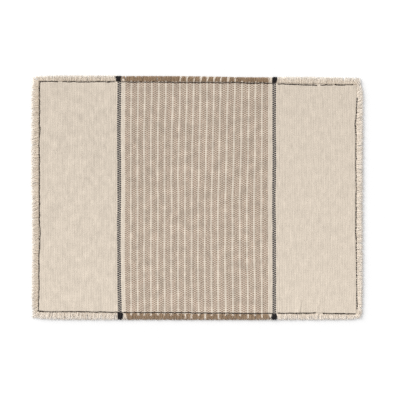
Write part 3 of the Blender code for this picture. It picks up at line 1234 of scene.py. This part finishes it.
    def build(self, run: Run, finishes: dict[tuple[Yarn, str], bpy.types.Material]) -> list[bpy.types.Object]:
        """Builds the pieces of a run: its own yarn's wisps, and the cream pinstripe's wisps among them.

        Args:
            run: the run of yarn ends.
            finishes: materials of loose yarn by yarn and side.

        Returns:
            The pieces.
        """
        rng = np.random.default_rng(sum(run.node.encode()))
        ends = self.ends(run, rng)
        lines, radii = self.lines(run, ends, rng)
        is_own, side, name = ~ends.is_cream, run.side.name, f"{run.node}_yarns"
        own = StrandSet(name, lines[is_own], radii[is_own]).build()
        pieces = [add_piece(name, own, finishes[run.yarn, side], (run.node,))]
        if ends.is_cream.any():
            name = f"fringe_{side}_pinstripe_yarns"
            cream = StrandSet(name, lines[ends.is_cream], radii[ends.is_cream]).build()
            pieces.append(add_piece(name, cream, finishes[Yarn.CREAM, side], ()))
        return pieces


@dataclass(frozen=True)
class Leg:
    """A leg of the stitch row along a side's seam, in mm along it, with the gaps where no stitch shows."""

    side: Side
    start: float
    end: float
    width: float
    gaps: tuple[tuple[float, float], ...] = ()
    overlap: float = 1.25  # a stitch's length as a share of its pitch


BACK_GAPS = ((-203.7, -198.4), (-119.5, -113.2), (111.2, 116.8), (174.9, 178.8), (197.3, 200.0))
FRONT_GAPS = ((-116.6, -110.8), (109.0, 115.5), (173.8, 182.7))


@dataclass(frozen=True)
class StitchRow:
    """The machine stitches that hold the cloth's edge, one small bead of thread for each. Sizes are in mm."""

    seed: int = 71
    pitches: tuple[float, float] = (2.6, 4.6)  # the shortest and the longest
    swells: tuple[float, float] = (0.6, 1.2)  # the least and the most of a leg's width
    blunt: float = 1.25  # how much a bead's ends are widened
    height: float = 0.9
    lift: float = 0.15
    wander: float = 0.35
    wander_step: float = 4.5
    legs: tuple[Leg, ...] = (
        Leg(BACK, -231.3, 227.0, 1.8, BACK_GAPS),
        Leg(FRONT, -232.2, 230.3, 1.75, FRONT_GAPS),
        Leg(LEFT, -165.3, 0.0, 1.75),
        Leg(LEFT, 0.0, 170.4, 1.55),
        Leg(RIGHT, -162.6, 147.8, 1.85, overlap=1.0),
    )

    def bead(self) -> bpy.types.Mesh:
        """Makes one stitch as a low blunt ball of unit size, to be drawn out along the seam.

        Returns:
            Its mesh, with the seam's way along Z.
        """
        bm = bmesh.new()
        bmesh.ops.create_uvsphere(bm, u_segments=6, v_segments=4, radius=0.5)
        ends = [vert for vert in bm.verts if 0.1 < abs(vert.co.z) < 0.45]  # neither its middle nor a pole
        bmesh.ops.scale(bm, verts=ends, vec=(self.blunt, self.blunt, 1.0))
        return finished(bm, "bead")

    def places(self, leg: Leg, rng: np.random.Generator) -> tuple[np.ndarray, np.ndarray]:
        """Sets a leg's stitches one after another.

        Args:
            leg: the leg.
            rng: the row's random numbers.

        Returns:
            The middles of its stitches along the side, without those in its gaps, and their lengths.
        """
        pitch = rng.uniform(*self.pitches, int((leg.end - leg.start) / self.pitches[0]))
        middles = leg.start + np.cumsum(pitch) - pitch / 2
        shown = middles < leg.end
        for start, end in leg.gaps:
            shown &= (middles < start) | (middles > end)
        return middles[shown], pitch[shown] * leg.overlap

    def beads_along(self, leg: Leg, local: np.ndarray, rng: np.random.Generator) -> np.ndarray:
        """Lays a leg's stitches on the seam.

        Args:
            leg: the leg.
            local: the points of a bead.
            rng: the row's random numbers.

        Returns:
            The points of all its beads in mm, of shape (n, 3).
        """
        middles, lengths = self.places(leg, rng)
        (along_x, along_y), (out_x, out_y) = leg.side.along, leg.side.outward
        swell = rng.uniform(*self.swells, len(middles))[:, None]
        along = middles[:, None] + local[None, :, 2] * lengths[:, None]
        knots = np.arange(leg.start, leg.end + self.wander_step, self.wander_step)
        wander = np.interp(along, knots, rng.normal(0.0, self.wander, len(knots)))
        out = leg.side.seam_at(along) + wander + local[None, :, 0] * leg.width * swell
        x, y = along * along_x + out * out_x, along * along_y + out * out_y
        base = LIE.height(x.mean(axis=1), y.mean(axis=1))[:, None]
        z = base + self.lift + local[None, :, 1] * self.height
        return np.stack([x, y, z], axis=-1).reshape(-1, 3)

    def build(self, material: bpy.types.Material) -> bpy.types.Object:
        """Builds the whole row as one piece.

        Args:
            material: the thread's material.

        Returns:
            The piece.
        """
        rng = np.random.default_rng(self.seed)
        bead = self.bead()
        local = mesh_points(bead)
        points = np.concatenate([self.beads_along(leg, local, rng) for leg in self.legs])
        angle = np.arctan2(local[:, 1], local[:, 0])
        mesh = copies_at(bead, "stitch_row", points, angle, local[:, 2] + 0.5)
        bm = bmesh.new()
        bm.from_mesh(mesh)
        bmesh.ops.recalc_face_normals(bm, faces=bm.faces)
        bm.to_mesh(mesh)
        bm.free()
        return add_piece("stitch_row", mesh, material, ())


Socket = bpy.types.NodeSocket
Colour = tuple[float, float, float, float]
Value = Socket | float | tuple[float, ...]
Setting = str | int | bool | bpy.types.NodeTree


class Graph:
    """Adds nodes to a shader tree and links them, so that a finish reads as the sum of its steps."""

    hair = 0.001  # keeps a limit clear of the whole number that it stands at
    noise_range = (0.25, 0.75)  # the values of noise that are spread over a whole range
    noise_roughness = 0.55
    green_warmth = 0.4  # how far warmth takes green down, beside blue

    def __init__(self, tree: bpy.types.NodeTree) -> None:
        """Starts on a tree."""
        self.tree = tree

    def node(self, kind: str, inputs: dict[str | int, Value], **settings: Setting) -> bpy.types.Node:
        """Adds a node.

        Args:
            kind: its type.
            inputs: sockets to link to its inputs, or values to set them to, by name or number.
            settings: values of its attributes.

        Returns:
            The node.
        """
        made = self.tree.nodes.new(kind)
        for name, setting in settings.items():
            setattr(made, name, setting)
        for key, value in inputs.items():
            self.feed(made.inputs[key], value)
        return made

    def feed(self, socket: Socket, value: Value) -> None:
        """Links a socket to another one, or sets it.

        Args:
            socket: the input to feed.
            value: an output to link it to, or its value.
        """
        if isinstance(value, bpy.types.NodeSocket):
            self.tree.links.new(value, socket)
        else:
            socket.default_value = value

    def group(self, tree: bpy.types.NodeTree, inputs: dict[str, Value]) -> bpy.types.Node:
        """Adds a node group."""
        return self.node("ShaderNodeGroup", inputs, node_tree=tree)

    def uv(self, name: str) -> Socket:
        """The coordinates of a UV map."""
        return self.node("ShaderNodeUVMap", {}, uv_map=name).outputs[0]

    def math(self, operation: str, first: Value, second: Value = 0.0) -> Socket:
        """A Math node's result."""
        return self.node("ShaderNodeMath", {0: first, 1: second}, operation=operation).outputs[0]

    def plus(self, first: Value, second: Value) -> Socket:
        """The sum of two values."""
        return self.math("ADD", first, second)

    def times(self, first: Value, second: Value) -> Socket:
        """The product of two values."""
        return self.math("MULTIPLY", first, second)

    def wave(self, value: Socket, turn: float) -> Socket:
        """The sine of a value, with so many radians for each whole number."""
        return self.math("SINE", self.times(value, turn))

    def parts(self, value: Socket) -> tuple[Socket, Socket]:
        """The whole part of a value, and the rest."""
        return self.math("FLOOR", value), self.math("FRACT", value)

    def between(self, value: Value, low: float, high: float) -> Socket:
        """1 where a value is from low up to high, and 0 elsewhere."""
        above = self.math("GREATER_THAN", value, low - self.hair)
        return self.times(above, self.math("LESS_THAN", value, high - self.hair))

    def either(self, is_first: Socket, first: Socket, second: Socket) -> Socket:
        """The first value where a switch is 1, and the second where it is 0."""
        return self.ramp(is_first, 0.0, 1.0, second, first)

    def vector(self, x: Value, y: Value, z: Value = 0.0) -> Socket:
        """A vector from three values."""
        return self.node("ShaderNodeCombineXYZ", {0: x, 1: y, 2: z}).outputs[0]

    def place(self, x: Socket, y: Socket, rates: tuple[float, float], z: Value = 0.0) -> Socket:
        """A place in noise from two values, each at its own rate, and a third."""
        return self.vector(self.times(x, rates[0]), self.times(y, rates[1]), z)

    def split(self, vector: Socket) -> tuple[Socket, Socket, Socket]:
        """The three values of a vector."""
        outputs = self.node("ShaderNodeSeparateXYZ", {0: vector}).outputs
        return outputs[0], outputs[1], outputs[2]

    def noise(self, vector: Socket, scale: float = 1.0, detail: float = 1.0) -> Socket:
        """Noise from about 0.2 to 0.8 at a vector."""
        inputs = {"Vector": vector, "Scale": scale, "Detail": detail, "Roughness": self.noise_roughness}
        return self.node("ShaderNodeTexNoise", inputs).outputs["Fac"]

    def uneven(self, noise: Socket, middle: float, size: float) -> Socket:
        """Spreads noise from a size below a middle value to a size above it."""
        return self.ramp(noise, *self.noise_range, middle - size, middle + size)

    def chance(self, value: Socket) -> Socket:
        """A random number from 0 to 1 for each whole value."""
        return self.node("ShaderNodeTexWhiteNoise", {"W": value}, noise_dimensions="1D").outputs["Value"]

    def ramp(self, value: Value, low: float, high: float, start: Value, end: Value) -> Socket:
        """Maps a value from one range to another, without going past its ends."""
        inputs = {0: value, 1: low, 2: high, 3: start, 4: end}
        return self.node("ShaderNodeMapRange", inputs, clamp=True).outputs[0]

    def mix(self, share: Value, first: Value, second: Value, **settings: Setting) -> Socket:
        """Mixes two colours."""
        inputs = {0: share, 6: first, 7: second}
        return self.node("ShaderNodeMix", inputs, data_type="RGBA", **settings).outputs[2]

    def tint(self, colour: Value, strength: Socket, warmth: float = 0.0) -> Socket:
        """Multiplies a colour by a value, and with warmth makes it browner where that darkens it.

        Args:
            colour: the colour.
            strength: the value.
            warmth: how far green and blue fall beside red.

        Returns:
            The tinted colour.
        """
        green, blue = strength, strength
        if warmth:
            green = self.math("POWER", strength, 1.0 + self.green_warmth * warmth)
            blue = self.math("POWER", strength, 1.0 + warmth)
        grey = self.node("ShaderNodeCombineColor", {0: strength, 1: green, 2: blue}).outputs[0]
        return self.mix(1.0, colour, grey, blend_type="MULTIPLY")

    def bump(self, height: Socket, strength: float, distance: float) -> Socket:
        """A Bump node's normal."""
        inputs = {"Height": height, "Strength": strength, "Distance": distance}
        return self.node("ShaderNodeBump", inputs).outputs["Normal"]


FLOAT = "NodeSocketFloat"


def new_group(name: str, inputs: dict[str, str], outputs: tuple[str, ...]) -> bpy.types.NodeTree:
    """Starts a shader node group.

    Args:
        name: its name.
        inputs: types of its inputs by name.
        outputs: names of its outputs, which are plain values.

    Returns:
        The group's tree, with its input node and its output node.
    """
    tree = bpy.data.node_groups.new(name, "ShaderNodeTree")
    for in_out, sockets in (("INPUT", inputs), ("OUTPUT", dict.fromkeys(outputs, FLOAT))):
        for socket_name, kind in sockets.items():
            tree.interface.new_socket(socket_name, in_out=in_out, socket_type=kind)
    tree.nodes.new("NodeGroupInput")
    tree.nodes.new("NodeGroupOutput")
    return tree


CHART = ("Warp Up", "Column", "Across Warp", "Across Weft")


def weave_chart() -> bpy.types.NodeTree:
    """Draws the chart of the plain weave.

    Returns:
        A group that gives for thread coordinates whether the warp is on top, the warp pair's number, and the
        place across the pair of warp and the pair of weft.
    """
    tree = new_group("weave_chart", {"Threads": "NodeSocketVector"}, CHART)
    graph = Graph(tree)
    given, result = tree.nodes[0], tree.nodes[1]
    u, v, _ = graph.split(given.outputs[0])
    (column, across_warp), (row, across_weft) = graph.parts(u), graph.parts(v)
    odd = graph.math("FLOORED_MODULO", graph.plus(column, row), 2.0)
    warp_up = graph.math("LESS_THAN", odd, 0.5)
    for name, value in zip(CHART, (warp_up, column, across_warp, across_weft)):
        graph.feed(result.inputs[name], value)
    return tree


@dataclass(frozen=True)
class SpunSurface:
    """The surface of a spun yarn: its round section, its twist and its fuzz."""

    turns: float = 1.15  # of the twist in a mm
    slant: float = 0.8  # turns of the twist from border to border
    fuzz_rates: tuple[float, float] = (7.13, 1.6)  # by yarn, and by mm along it
    fuzz_scale: float = 1.7
    fuzz_detail: float = 3.0
    heights: tuple[float, float, float] = (0.7, 0.12, 0.35)  # of the section, the twist and the fuzz
    lit_from: float = 0.8  # roundness from which the yarn is as light as on top
    border_shade: float = 0.80
    twist_shade: float = 0.03
    fuzz_shade: float = 0.07

    def tree(self) -> bpy.types.NodeTree:
        """Builds the surface as a node group.

        Returns:
            A group that takes the place across a yarn (0 to 1), the mm along it and its number, and gives a
            shade about 1 and a height.
        """
        inputs = ("Across", "Along", "Number")
        tree = new_group("spun_yarn", dict.fromkeys(inputs, FLOAT), ("Shade", "Height"))
        graph = Graph(tree)
        given, result = tree.nodes[0], tree.nodes[1]
        across, along, number = (given.outputs[name] for name in inputs)
        turns = graph.plus(graph.times(along, self.turns), graph.times(across, self.slant))
        twist, roundness = graph.wave(turns, math.tau), graph.wave(across, math.pi)
        place = graph.place(number, along, self.fuzz_rates, across)
        fuzz = graph.noise(place, self.fuzz_scale, self.fuzz_detail)
        of_section, of_twist, of_fuzz = self.heights
        height = graph.plus(graph.times(roundness, of_section), graph.times(twist, of_twist))
        height = graph.plus(height, graph.times(fuzz, of_fuzz))
        shade = graph.ramp(roundness, 0.0, self.lit_from, self.border_shade, 1.0)
        shade = graph.plus(shade, graph.times(twist, self.twist_shade))
        shade = graph.plus(shade, graph.uneven(fuzz, 0.0, self.fuzz_shade))
        graph.feed(result.inputs["Shade"], shade)
        graph.feed(result.inputs["Height"], height)
        return tree


SHADER = "Principled BSDF"
COTTON = {"Roughness": 0.95, "Specular IOR Level": 0.2, "Sheen Roughness": 0.6}


def new_material(name: str, values: dict[str, float | Colour]) -> bpy.types.Material:
    """Makes a node material.

    Args:
        name: its name.
        values: constant values of its shader's inputs.

    Returns:
        The material.
    """
    material = bpy.data.materials.new(name)
    material.use_nodes = True
    shader = material.node_tree.nodes[SHADER]
    for socket, value in values.items():
        shader.inputs[socket].default_value = value
    return material


def new_cotton(name: str, sheen: float) -> tuple[bpy.types.Material, Graph, bpy.types.Node]:
    """A matt cotton material, a graph to dress it with, and its shader."""
    material = new_material(name, {**COTTON, "Sheen Weight": sheen})
    return material, Graph(material.node_tree), material.node_tree.nodes[SHADER]


@dataclass(frozen=True)
class ClothFinish:
    """The cloth's colours and how much they vary. Rates are steps of noise in a pair: across, then along."""

    cream_warp: Colour = (0.697, 0.606, 0.500, 1.0)
    cream_weft: Colour = (0.717, 0.627, 0.522, 1.0)
    strip: Colour = (0.80, 0.70, 0.58, 1.0)
    pinstripe: Colour = (0.70, 0.612, 0.505, 1.0)
    taupe: Colour = (0.32, 0.233, 0.166, 1.0)
    taupe_warm: Colour = (0.36, 0.248, 0.181, 1.0)
    warm_range: tuple[float, float] = (0.35, 0.7)  # noise over which taupe turns warm
    warm_rates: tuple[float, float] = (3.3, 0.05)
    charcoal: Colour = (0.064, 0.059, 0.059, 1.0)
    mottles: tuple[float, float, float] = (0.06, 0.12, 0.025)  # of left panel, block and right panel
    mottle_rates: tuple[float, float] = (0.23, 0.14)
    mottle_level: float = 7.7  # the level of the noise that the clouds are read at
    streaks: tuple[float, float] = (0.05, 0.04)  # of warp and weft yarns
    streak_rates: tuple[float, float] = (0.11, 0.09)
    streak_step: float = 9.17  # from one yarn to the next
    streak_level: float = 4.2
    slub: float = 0.09
    slub_rates: tuple[float, float] = (0.6, 0.12)
    valley: float = 0.82  # shade where a float dips under
    valley_width: float = 0.7
    dip_height: float = 0.5
    # painted light: the cloth is lighter towards the front and darker towards the back
    light_falloff: float = 0.04
    sheen: float = 0.12
    bump: tuple[float, float] = (0.6, 0.0003)  # strength, and metres
    weft_height: float = 1.57  # mm of a weft pair along the warp
    warp_width: float = 2.5  # mm of a warp pair along the weft
    weft_start: float = 1000.0  # number of the first weft yarn, past all the warp's

    def chart_colours(self, graph: Graph, column: Socket, v: Socket) -> Socket:
        """The warp's colour by its pair's number.

        Args:
            graph: the finish's graph.
            column: number of the warp pair.
            v: place along the warp in weft pairs.

        Returns:
            The colour.
        """
        block, block_end = first_pair("taupe"), first_pair("strip_right")
        from_block = graph.math("SUBTRACT", column, float(block))
        in_repeat = graph.math("FLOORED_MODULO", from_block, float(PINSTRIPE_REPEAT))
        is_taupe = graph.math("LESS_THAN", in_repeat, PINSTRIPE_REPEAT - 1.5)  # all but a repeat's last pair
        warmth = graph.ramp(graph.noise(graph.place(column, v, self.warm_rates)), *self.warm_range, 0.0, 1.0)
        taupe = graph.mix(warmth, self.taupe, self.taupe_warm)
        striped = graph.mix(is_taupe, self.pinstripe, taupe)
        colour = graph.mix(graph.between(column, block, block_end), self.cream_warp, striped)
        plain = {"charcoal_left": self.charcoal, "strip_left": self.strip, "charcoal_right": self.charcoal}
        for stretch in STRETCHES:
            if stretch.name in plain:
                start = first_pair(stretch.name)
                is_here = graph.between(column, start, start + stretch.pairs)
                colour = graph.mix(is_here, colour, plain[stretch.name])
        return colour

    def mottling(self, graph: Graph, column: Socket, v: Socket) -> Socket:
        """The cloth's uneven shade in clouds of some pairs across.

        Args:
            graph: the finish's graph.
            column: number of the warp pair.
            v: place along the warp in weft pairs.

        Returns:
            A shade about 1.
        """
        left, block, right = self.mottles
        noise = graph.noise(graph.place(column, v, self.mottle_rates, self.mottle_level))
        first, last = float(first_pair("taupe")), float(first_pair("strip_right"))
        size = graph.plus(graph.ramp(column, first - 1.0, first, left, block), right - block)
        size = graph.plus(size, graph.ramp(column, last - 1.0, last, block - right, 0.0))
        return graph.plus(graph.times(graph.uneven(noise, 0.0, 1.0), size), 1.0)

    def streaked(self, graph: Graph, number: Socket, along: Socket, which: int) -> Socket:
        """A shade in streaks along each yarn.

        Args:
            graph: the finish's graph.
            number: the yarn's number.
            along: place along it in pairs.
            which: 0 for the warp and 1 for the weft.

        Returns:
            A shade about 1.
        """
        rates = (self.streak_step, self.streak_rates[which])
        noise = graph.noise(graph.place(number, along, rates, self.streak_level), detail=2.0)
        return graph.uneven(noise, 1.0, self.streaks[which])

    def material(self, chart: bpy.types.NodeTree, yarn: bpy.types.NodeTree) -> bpy.types.Material:
        """Makes the cloth's material.

        Args:
            chart: the weave's chart.
            yarn: the surface of a spun yarn.

        Returns:
            The material.
        """
        material, graph, shader = new_cotton("cloth_weave", self.sheen)
        threads = graph.uv(THREADS)
        weave = graph.group(chart, {"Threads": threads})
        warp_up, column, across_warp, across_weft = (weave.outputs[name] for name in CHART)
        u, v, _ = graph.split(threads)
        warp_number, warp_across = graph.parts(graph.times(u, float(YARNS_IN_PAIR)))
        weft_number, weft_across = graph.parts(graph.times(v, float(YARNS_IN_PAIR)))
        warp = graph.tint(self.chart_colours(graph, column, v), self.streaked(graph, warp_number, v, 0))
        weft = graph.tint(self.cream_weft, self.streaked(graph, weft_number, u, 1))
        along_warp, along_weft = graph.times(v, self.weft_height), graph.times(u, self.warp_width)
        on_top = {
            "Across": graph.either(warp_up, warp_across, weft_across),
            "Along": graph.either(warp_up, along_warp, along_weft),
            "Number": graph.either(warp_up, warp_number, graph.plus(weft_number, self.weft_start)),
        }
        spun = graph.group(yarn, on_top)
        dip = graph.wave(graph.either(warp_up, across_weft, across_warp), math.pi)
        shade = graph.times(spun.outputs["Shade"], graph.ramp(dip, 0.0, self.valley_width, self.valley, 1.0))
        slubs = graph.uneven(graph.noise(graph.place(u, v, self.slub_rates), detail=2.0), 1.0, self.slub)
        clouds = graph.times(slubs, self.mottling(graph, column, v))
        # painted light, lighter at the front edge than at the back
        falloff_shade = graph.ramp(v, 0.0, float(ROWS), 1.0 + self.light_falloff, 1.0 - self.light_falloff)
        shade = graph.times(shade, graph.times(clouds, falloff_shade))
        graph.feed(shader.inputs["Base Color"], graph.tint(graph.mix(warp_up, weft, warp), shade))
        height = graph.plus(spun.outputs["Height"], graph.times(dip, self.dip_height))
        graph.feed(shader.inputs["Normal"], graph.bump(height, *self.bump))
        return material


PALE_TIP = (0.83, 0.80, 0.75, 1.0)


@dataclass(frozen=True)
class YarnFinish:
    """The look of loose yarn or thread: its colour, a second tone, and the shade and light painted on it from
    root to tip.
    """

    name: str
    colour: Colour
    tone: Colour
    # painted shade towards the root and beside the seam; a tip shade above 1 is painted light
    root_shade: float = 0.85
    seam_shade: float = 0.88
    tip_shade: float = 1.0
    spread: float = 0.07
    length: float = 10.0  # mm
    sheen: float = 0.12
    # browner where the yarn is darker, partly its own chance tone and partly the painted shade's colour of
    # light bounced between wisps
    warmth: float = 0.5
    pale: float = 0.0  # how far it pales towards its tip
    tip_from: float = 0.5  # share of its length from which its tip's shade sets in
    seam_range: tuple[float, float] = (0.05, 0.25)  # shares of its length over which the seam's shade ends
    bump: tuple[float, float] = (0.3, 0.0002)  # strength, and metres

    def material(self, yarn: bpy.types.NodeTree) -> bpy.types.Material:
        """Makes the yarn's material.

        Args:
            yarn: the surface of a spun yarn.

        Returns:
            The material.
        """
        material, graph, shader = new_cotton(self.name, self.sheen)
        number_and_across, share, _ = graph.split(graph.uv(STRANDS))
        number, across = graph.parts(number_and_across)
        colour = graph.mix(graph.chance(number), self.colour, self.tone)
        colour = graph.mix(graph.ramp(share, self.tip_from, 1.0, 0.0, self.pale), colour, PALE_TIP)
        along = graph.times(share, self.length)
        spun = graph.group(yarn, {"Across": across, "Along": along, "Number": number})
        root = graph.ramp(share, self.tip_from, 1.0, self.root_shade, self.tip_shade)
        root = graph.times(root, graph.ramp(share, *self.seam_range, self.seam_shade, 1.0))
        chance = graph.chance(graph.plus(number, 0.5))
        vary = graph.ramp(chance, 0.0, 1.0, 1.0 - self.spread, 1.0 + self.spread)
        strength = graph.times(graph.times(root, vary), spun.outputs["Shade"])
        graph.feed(shader.inputs["Base Color"], graph.tint(colour, strength, self.warmth))
        graph.feed(shader.inputs["Normal"], graph.bump(spun.outputs["Height"], *self.bump))
        return material


@dataclass(frozen=True)
class Studio:
    """A white floor under soft light from the upper left, and a camera straight above. The floor, the sun's
    distance and the clip are in metres, the view and the lens in mm, and angles in degrees."""

    view_width: float = 584.8
    view_middle: tuple[float, float] = (3.6, -2.6)
    lens: float = 100.0
    sensor: float = 36.0
    floor_size: float = 6.0
    floor_colour: Colour = (0.86, 0.86, 0.86, 1.0)
    sky: float = 0.80
    sun: float = 3.5
    sun_angle: float = 36.0
    sun_height: float = 20.0
    sun_from: float = 143.0  # degrees from +X towards +Y
    sun_distance: float = 2.0
    clip: tuple[float, float] = (0.1, 20.0)

    def floor(self) -> bpy.types.Object:
        """Lays a plain floor under the mat.

        Returns:
            The floor.
        """
        bm = bmesh.new()
        bmesh.ops.create_grid(bm, x_segments=1, y_segments=1, size=self.floor_size / 2)
        mesh = finished(bm, "floor")
        values = {"Base Color": self.floor_colour, "Roughness": 1.0, "Specular IOR Level": 0.0}
        mesh.materials.append(new_material("floor", values))
        floor = new_object("floor", mesh)
        return floor

    def light(self) -> None:
        """Even sky light and one soft sun."""
        world = bpy.data.worlds.new("studio")
        world.use_nodes = True
        background = world.node_tree.nodes["Background"]
        background.inputs["Color"].default_value = (1.0, 1.0, 1.0, 1.0)
        background.inputs["Strength"].default_value = self.sky
        bpy.context.scene.world = world
        lamp = bpy.data.lights.new("window", "SUN")
        lamp.energy = self.sun
        lamp.angle = math.radians(self.sun_angle)
        holder = bpy.data.objects.new("window", lamp)
        bpy.context.scene.collection.objects.link(holder)
        height, azimuth = math.radians(self.sun_height), math.radians(self.sun_from)
        level = math.cos(height)
        towards = Vector((level * math.cos(azimuth), level * math.sin(azimuth), math.sin(height)))
        holder.location = towards * self.sun_distance
        holder.rotation_euler = towards.to_track_quat("Z", "Y").to_euler()

    def camera(self) -> None:
        """The camera, straight above and looking down, with the frame's width on the mat's upper face."""
        lens = bpy.data.cameras.new("camera")
        lens.lens = self.lens
        lens.sensor_width = self.sensor
        holder = bpy.data.objects.new("camera", lens)
        bpy.context.scene.collection.objects.link(holder)
        distance = self.view_width * self.lens / self.sensor
        middle = Vector((*self.view_middle, LIE.thickness + distance)) + SEAT
        holder.location = middle * MM
        lens.clip_start, lens.clip_end = self.clip
        bpy.context.scene.camera = holder


CLOTH_PIECES = (
    ClothPiece("cloth_panel_left", 0, 45),
    ClothPiece("cloth_band_left", 45, 51),
    ClothPiece("cloth_block_left", 51, 92),
    ClothPiece("cloth_block_right", 92, 134),
    ClothPiece("cloth_band_right", 134, 141),
    ClothPiece("cloth_panel_right", 141, COLUMNS),
)
YARN_FINISHES = {
    Yarn.CREAM: YarnFinish("cream_yarn", (0.88, 0.790, 0.685, 1.0), (0.80, 0.705, 0.598, 1.0)),
    Yarn.TAUPE: YarnFinish("taupe_yarn", (0.395, 0.275, 0.1755, 1.0), (0.310, 0.210, 0.129, 1.0)),
    Yarn.CHARCOAL: YarnFinish(
        "charcoal_yarn", (0.020, 0.018, 0.019, 1.0), (0.026, 0.022, 0.022, 1.0), sheen=0.0
    ),
}
# Painted shade at the loose yarns' roots and painted light at their tips, one pair for each side as the light
# falls on it
SHADES = {"left": (0.85, 1.02), "back": (0.90, 1.03), "right": (0.96, 1.16), "front": (0.98, 1.145)}
PALENESS = {"left": 0.4, "back": 0.45, "right": 0.1, "front": 0.1}  # of cream yarn's tips
THREAD_FINISH = YarnFinish(
    "stitch_thread",
    (0.026, 0.020, 0.017, 1.0),
    (0.04, 0.03, 0.024, 1.0),
    root_shade=1.0,
    seam_shade=1.0,
    spread=0.1,
    length=3.0,
    sheen=0.0,
)


def yarn_materials(yarn: bpy.types.NodeTree) -> dict[tuple[Yarn, str], bpy.types.Material]:
    """Makes the materials of loose yarn.

    Args:
        yarn: the surface of a spun yarn.

    Returns:
        The materials by yarn and side.
    """
    finishes = {}
    # each side gets its own copy of a finish, with that side's painted shade and painted light
    for kind, finish in YARN_FINISHES.items():
        for side, (root, tip) in SHADES.items():
            pale = PALENESS[side] * (kind is Yarn.CREAM)
            own = replace(finish, name=f"{finish.name}_{side}", root_shade=root, tip_shade=tip, pale=pale)
            finishes[kind, side] = own.material(yarn)
    return finishes


def main() -> None:
    """Builds the mat on its frame, piece by piece, and sets the studio round it."""
    logging.basicConfig(level=logging.INFO, format="%(message)s")
    bpy.context.scene.view_settings.view_transform = "Standard"
    bpy.context.scene.cycles.use_denoising = False  # the denoiser would smooth the weave away
    studio = Studio()
    studio.camera()
    studio.light()
    floor = studio.floor()
    yarn = SpunSurface().tree()
    cloth_material = ClothFinish().material(weave_chart(), yarn)
    finishes = yarn_materials(yarn)
    fringe = Fringe()
    loose = [piece for run in fringe_runs() for piece in fringe.build(run, finishes)]
    stitches = StitchRow().build(THREAD_FINISH.material(yarn))
    for index, width in enumerate(CLOTH_PIECES):
        piece = add_piece(width.name, width.build(), cloth_material, ("mat_cloth",))
        width.flat_size()
        LOG.info("%s: flat size %.4f by %.4f m", width.name, *width.flat_size())


if __name__ == "__main__":
    main()
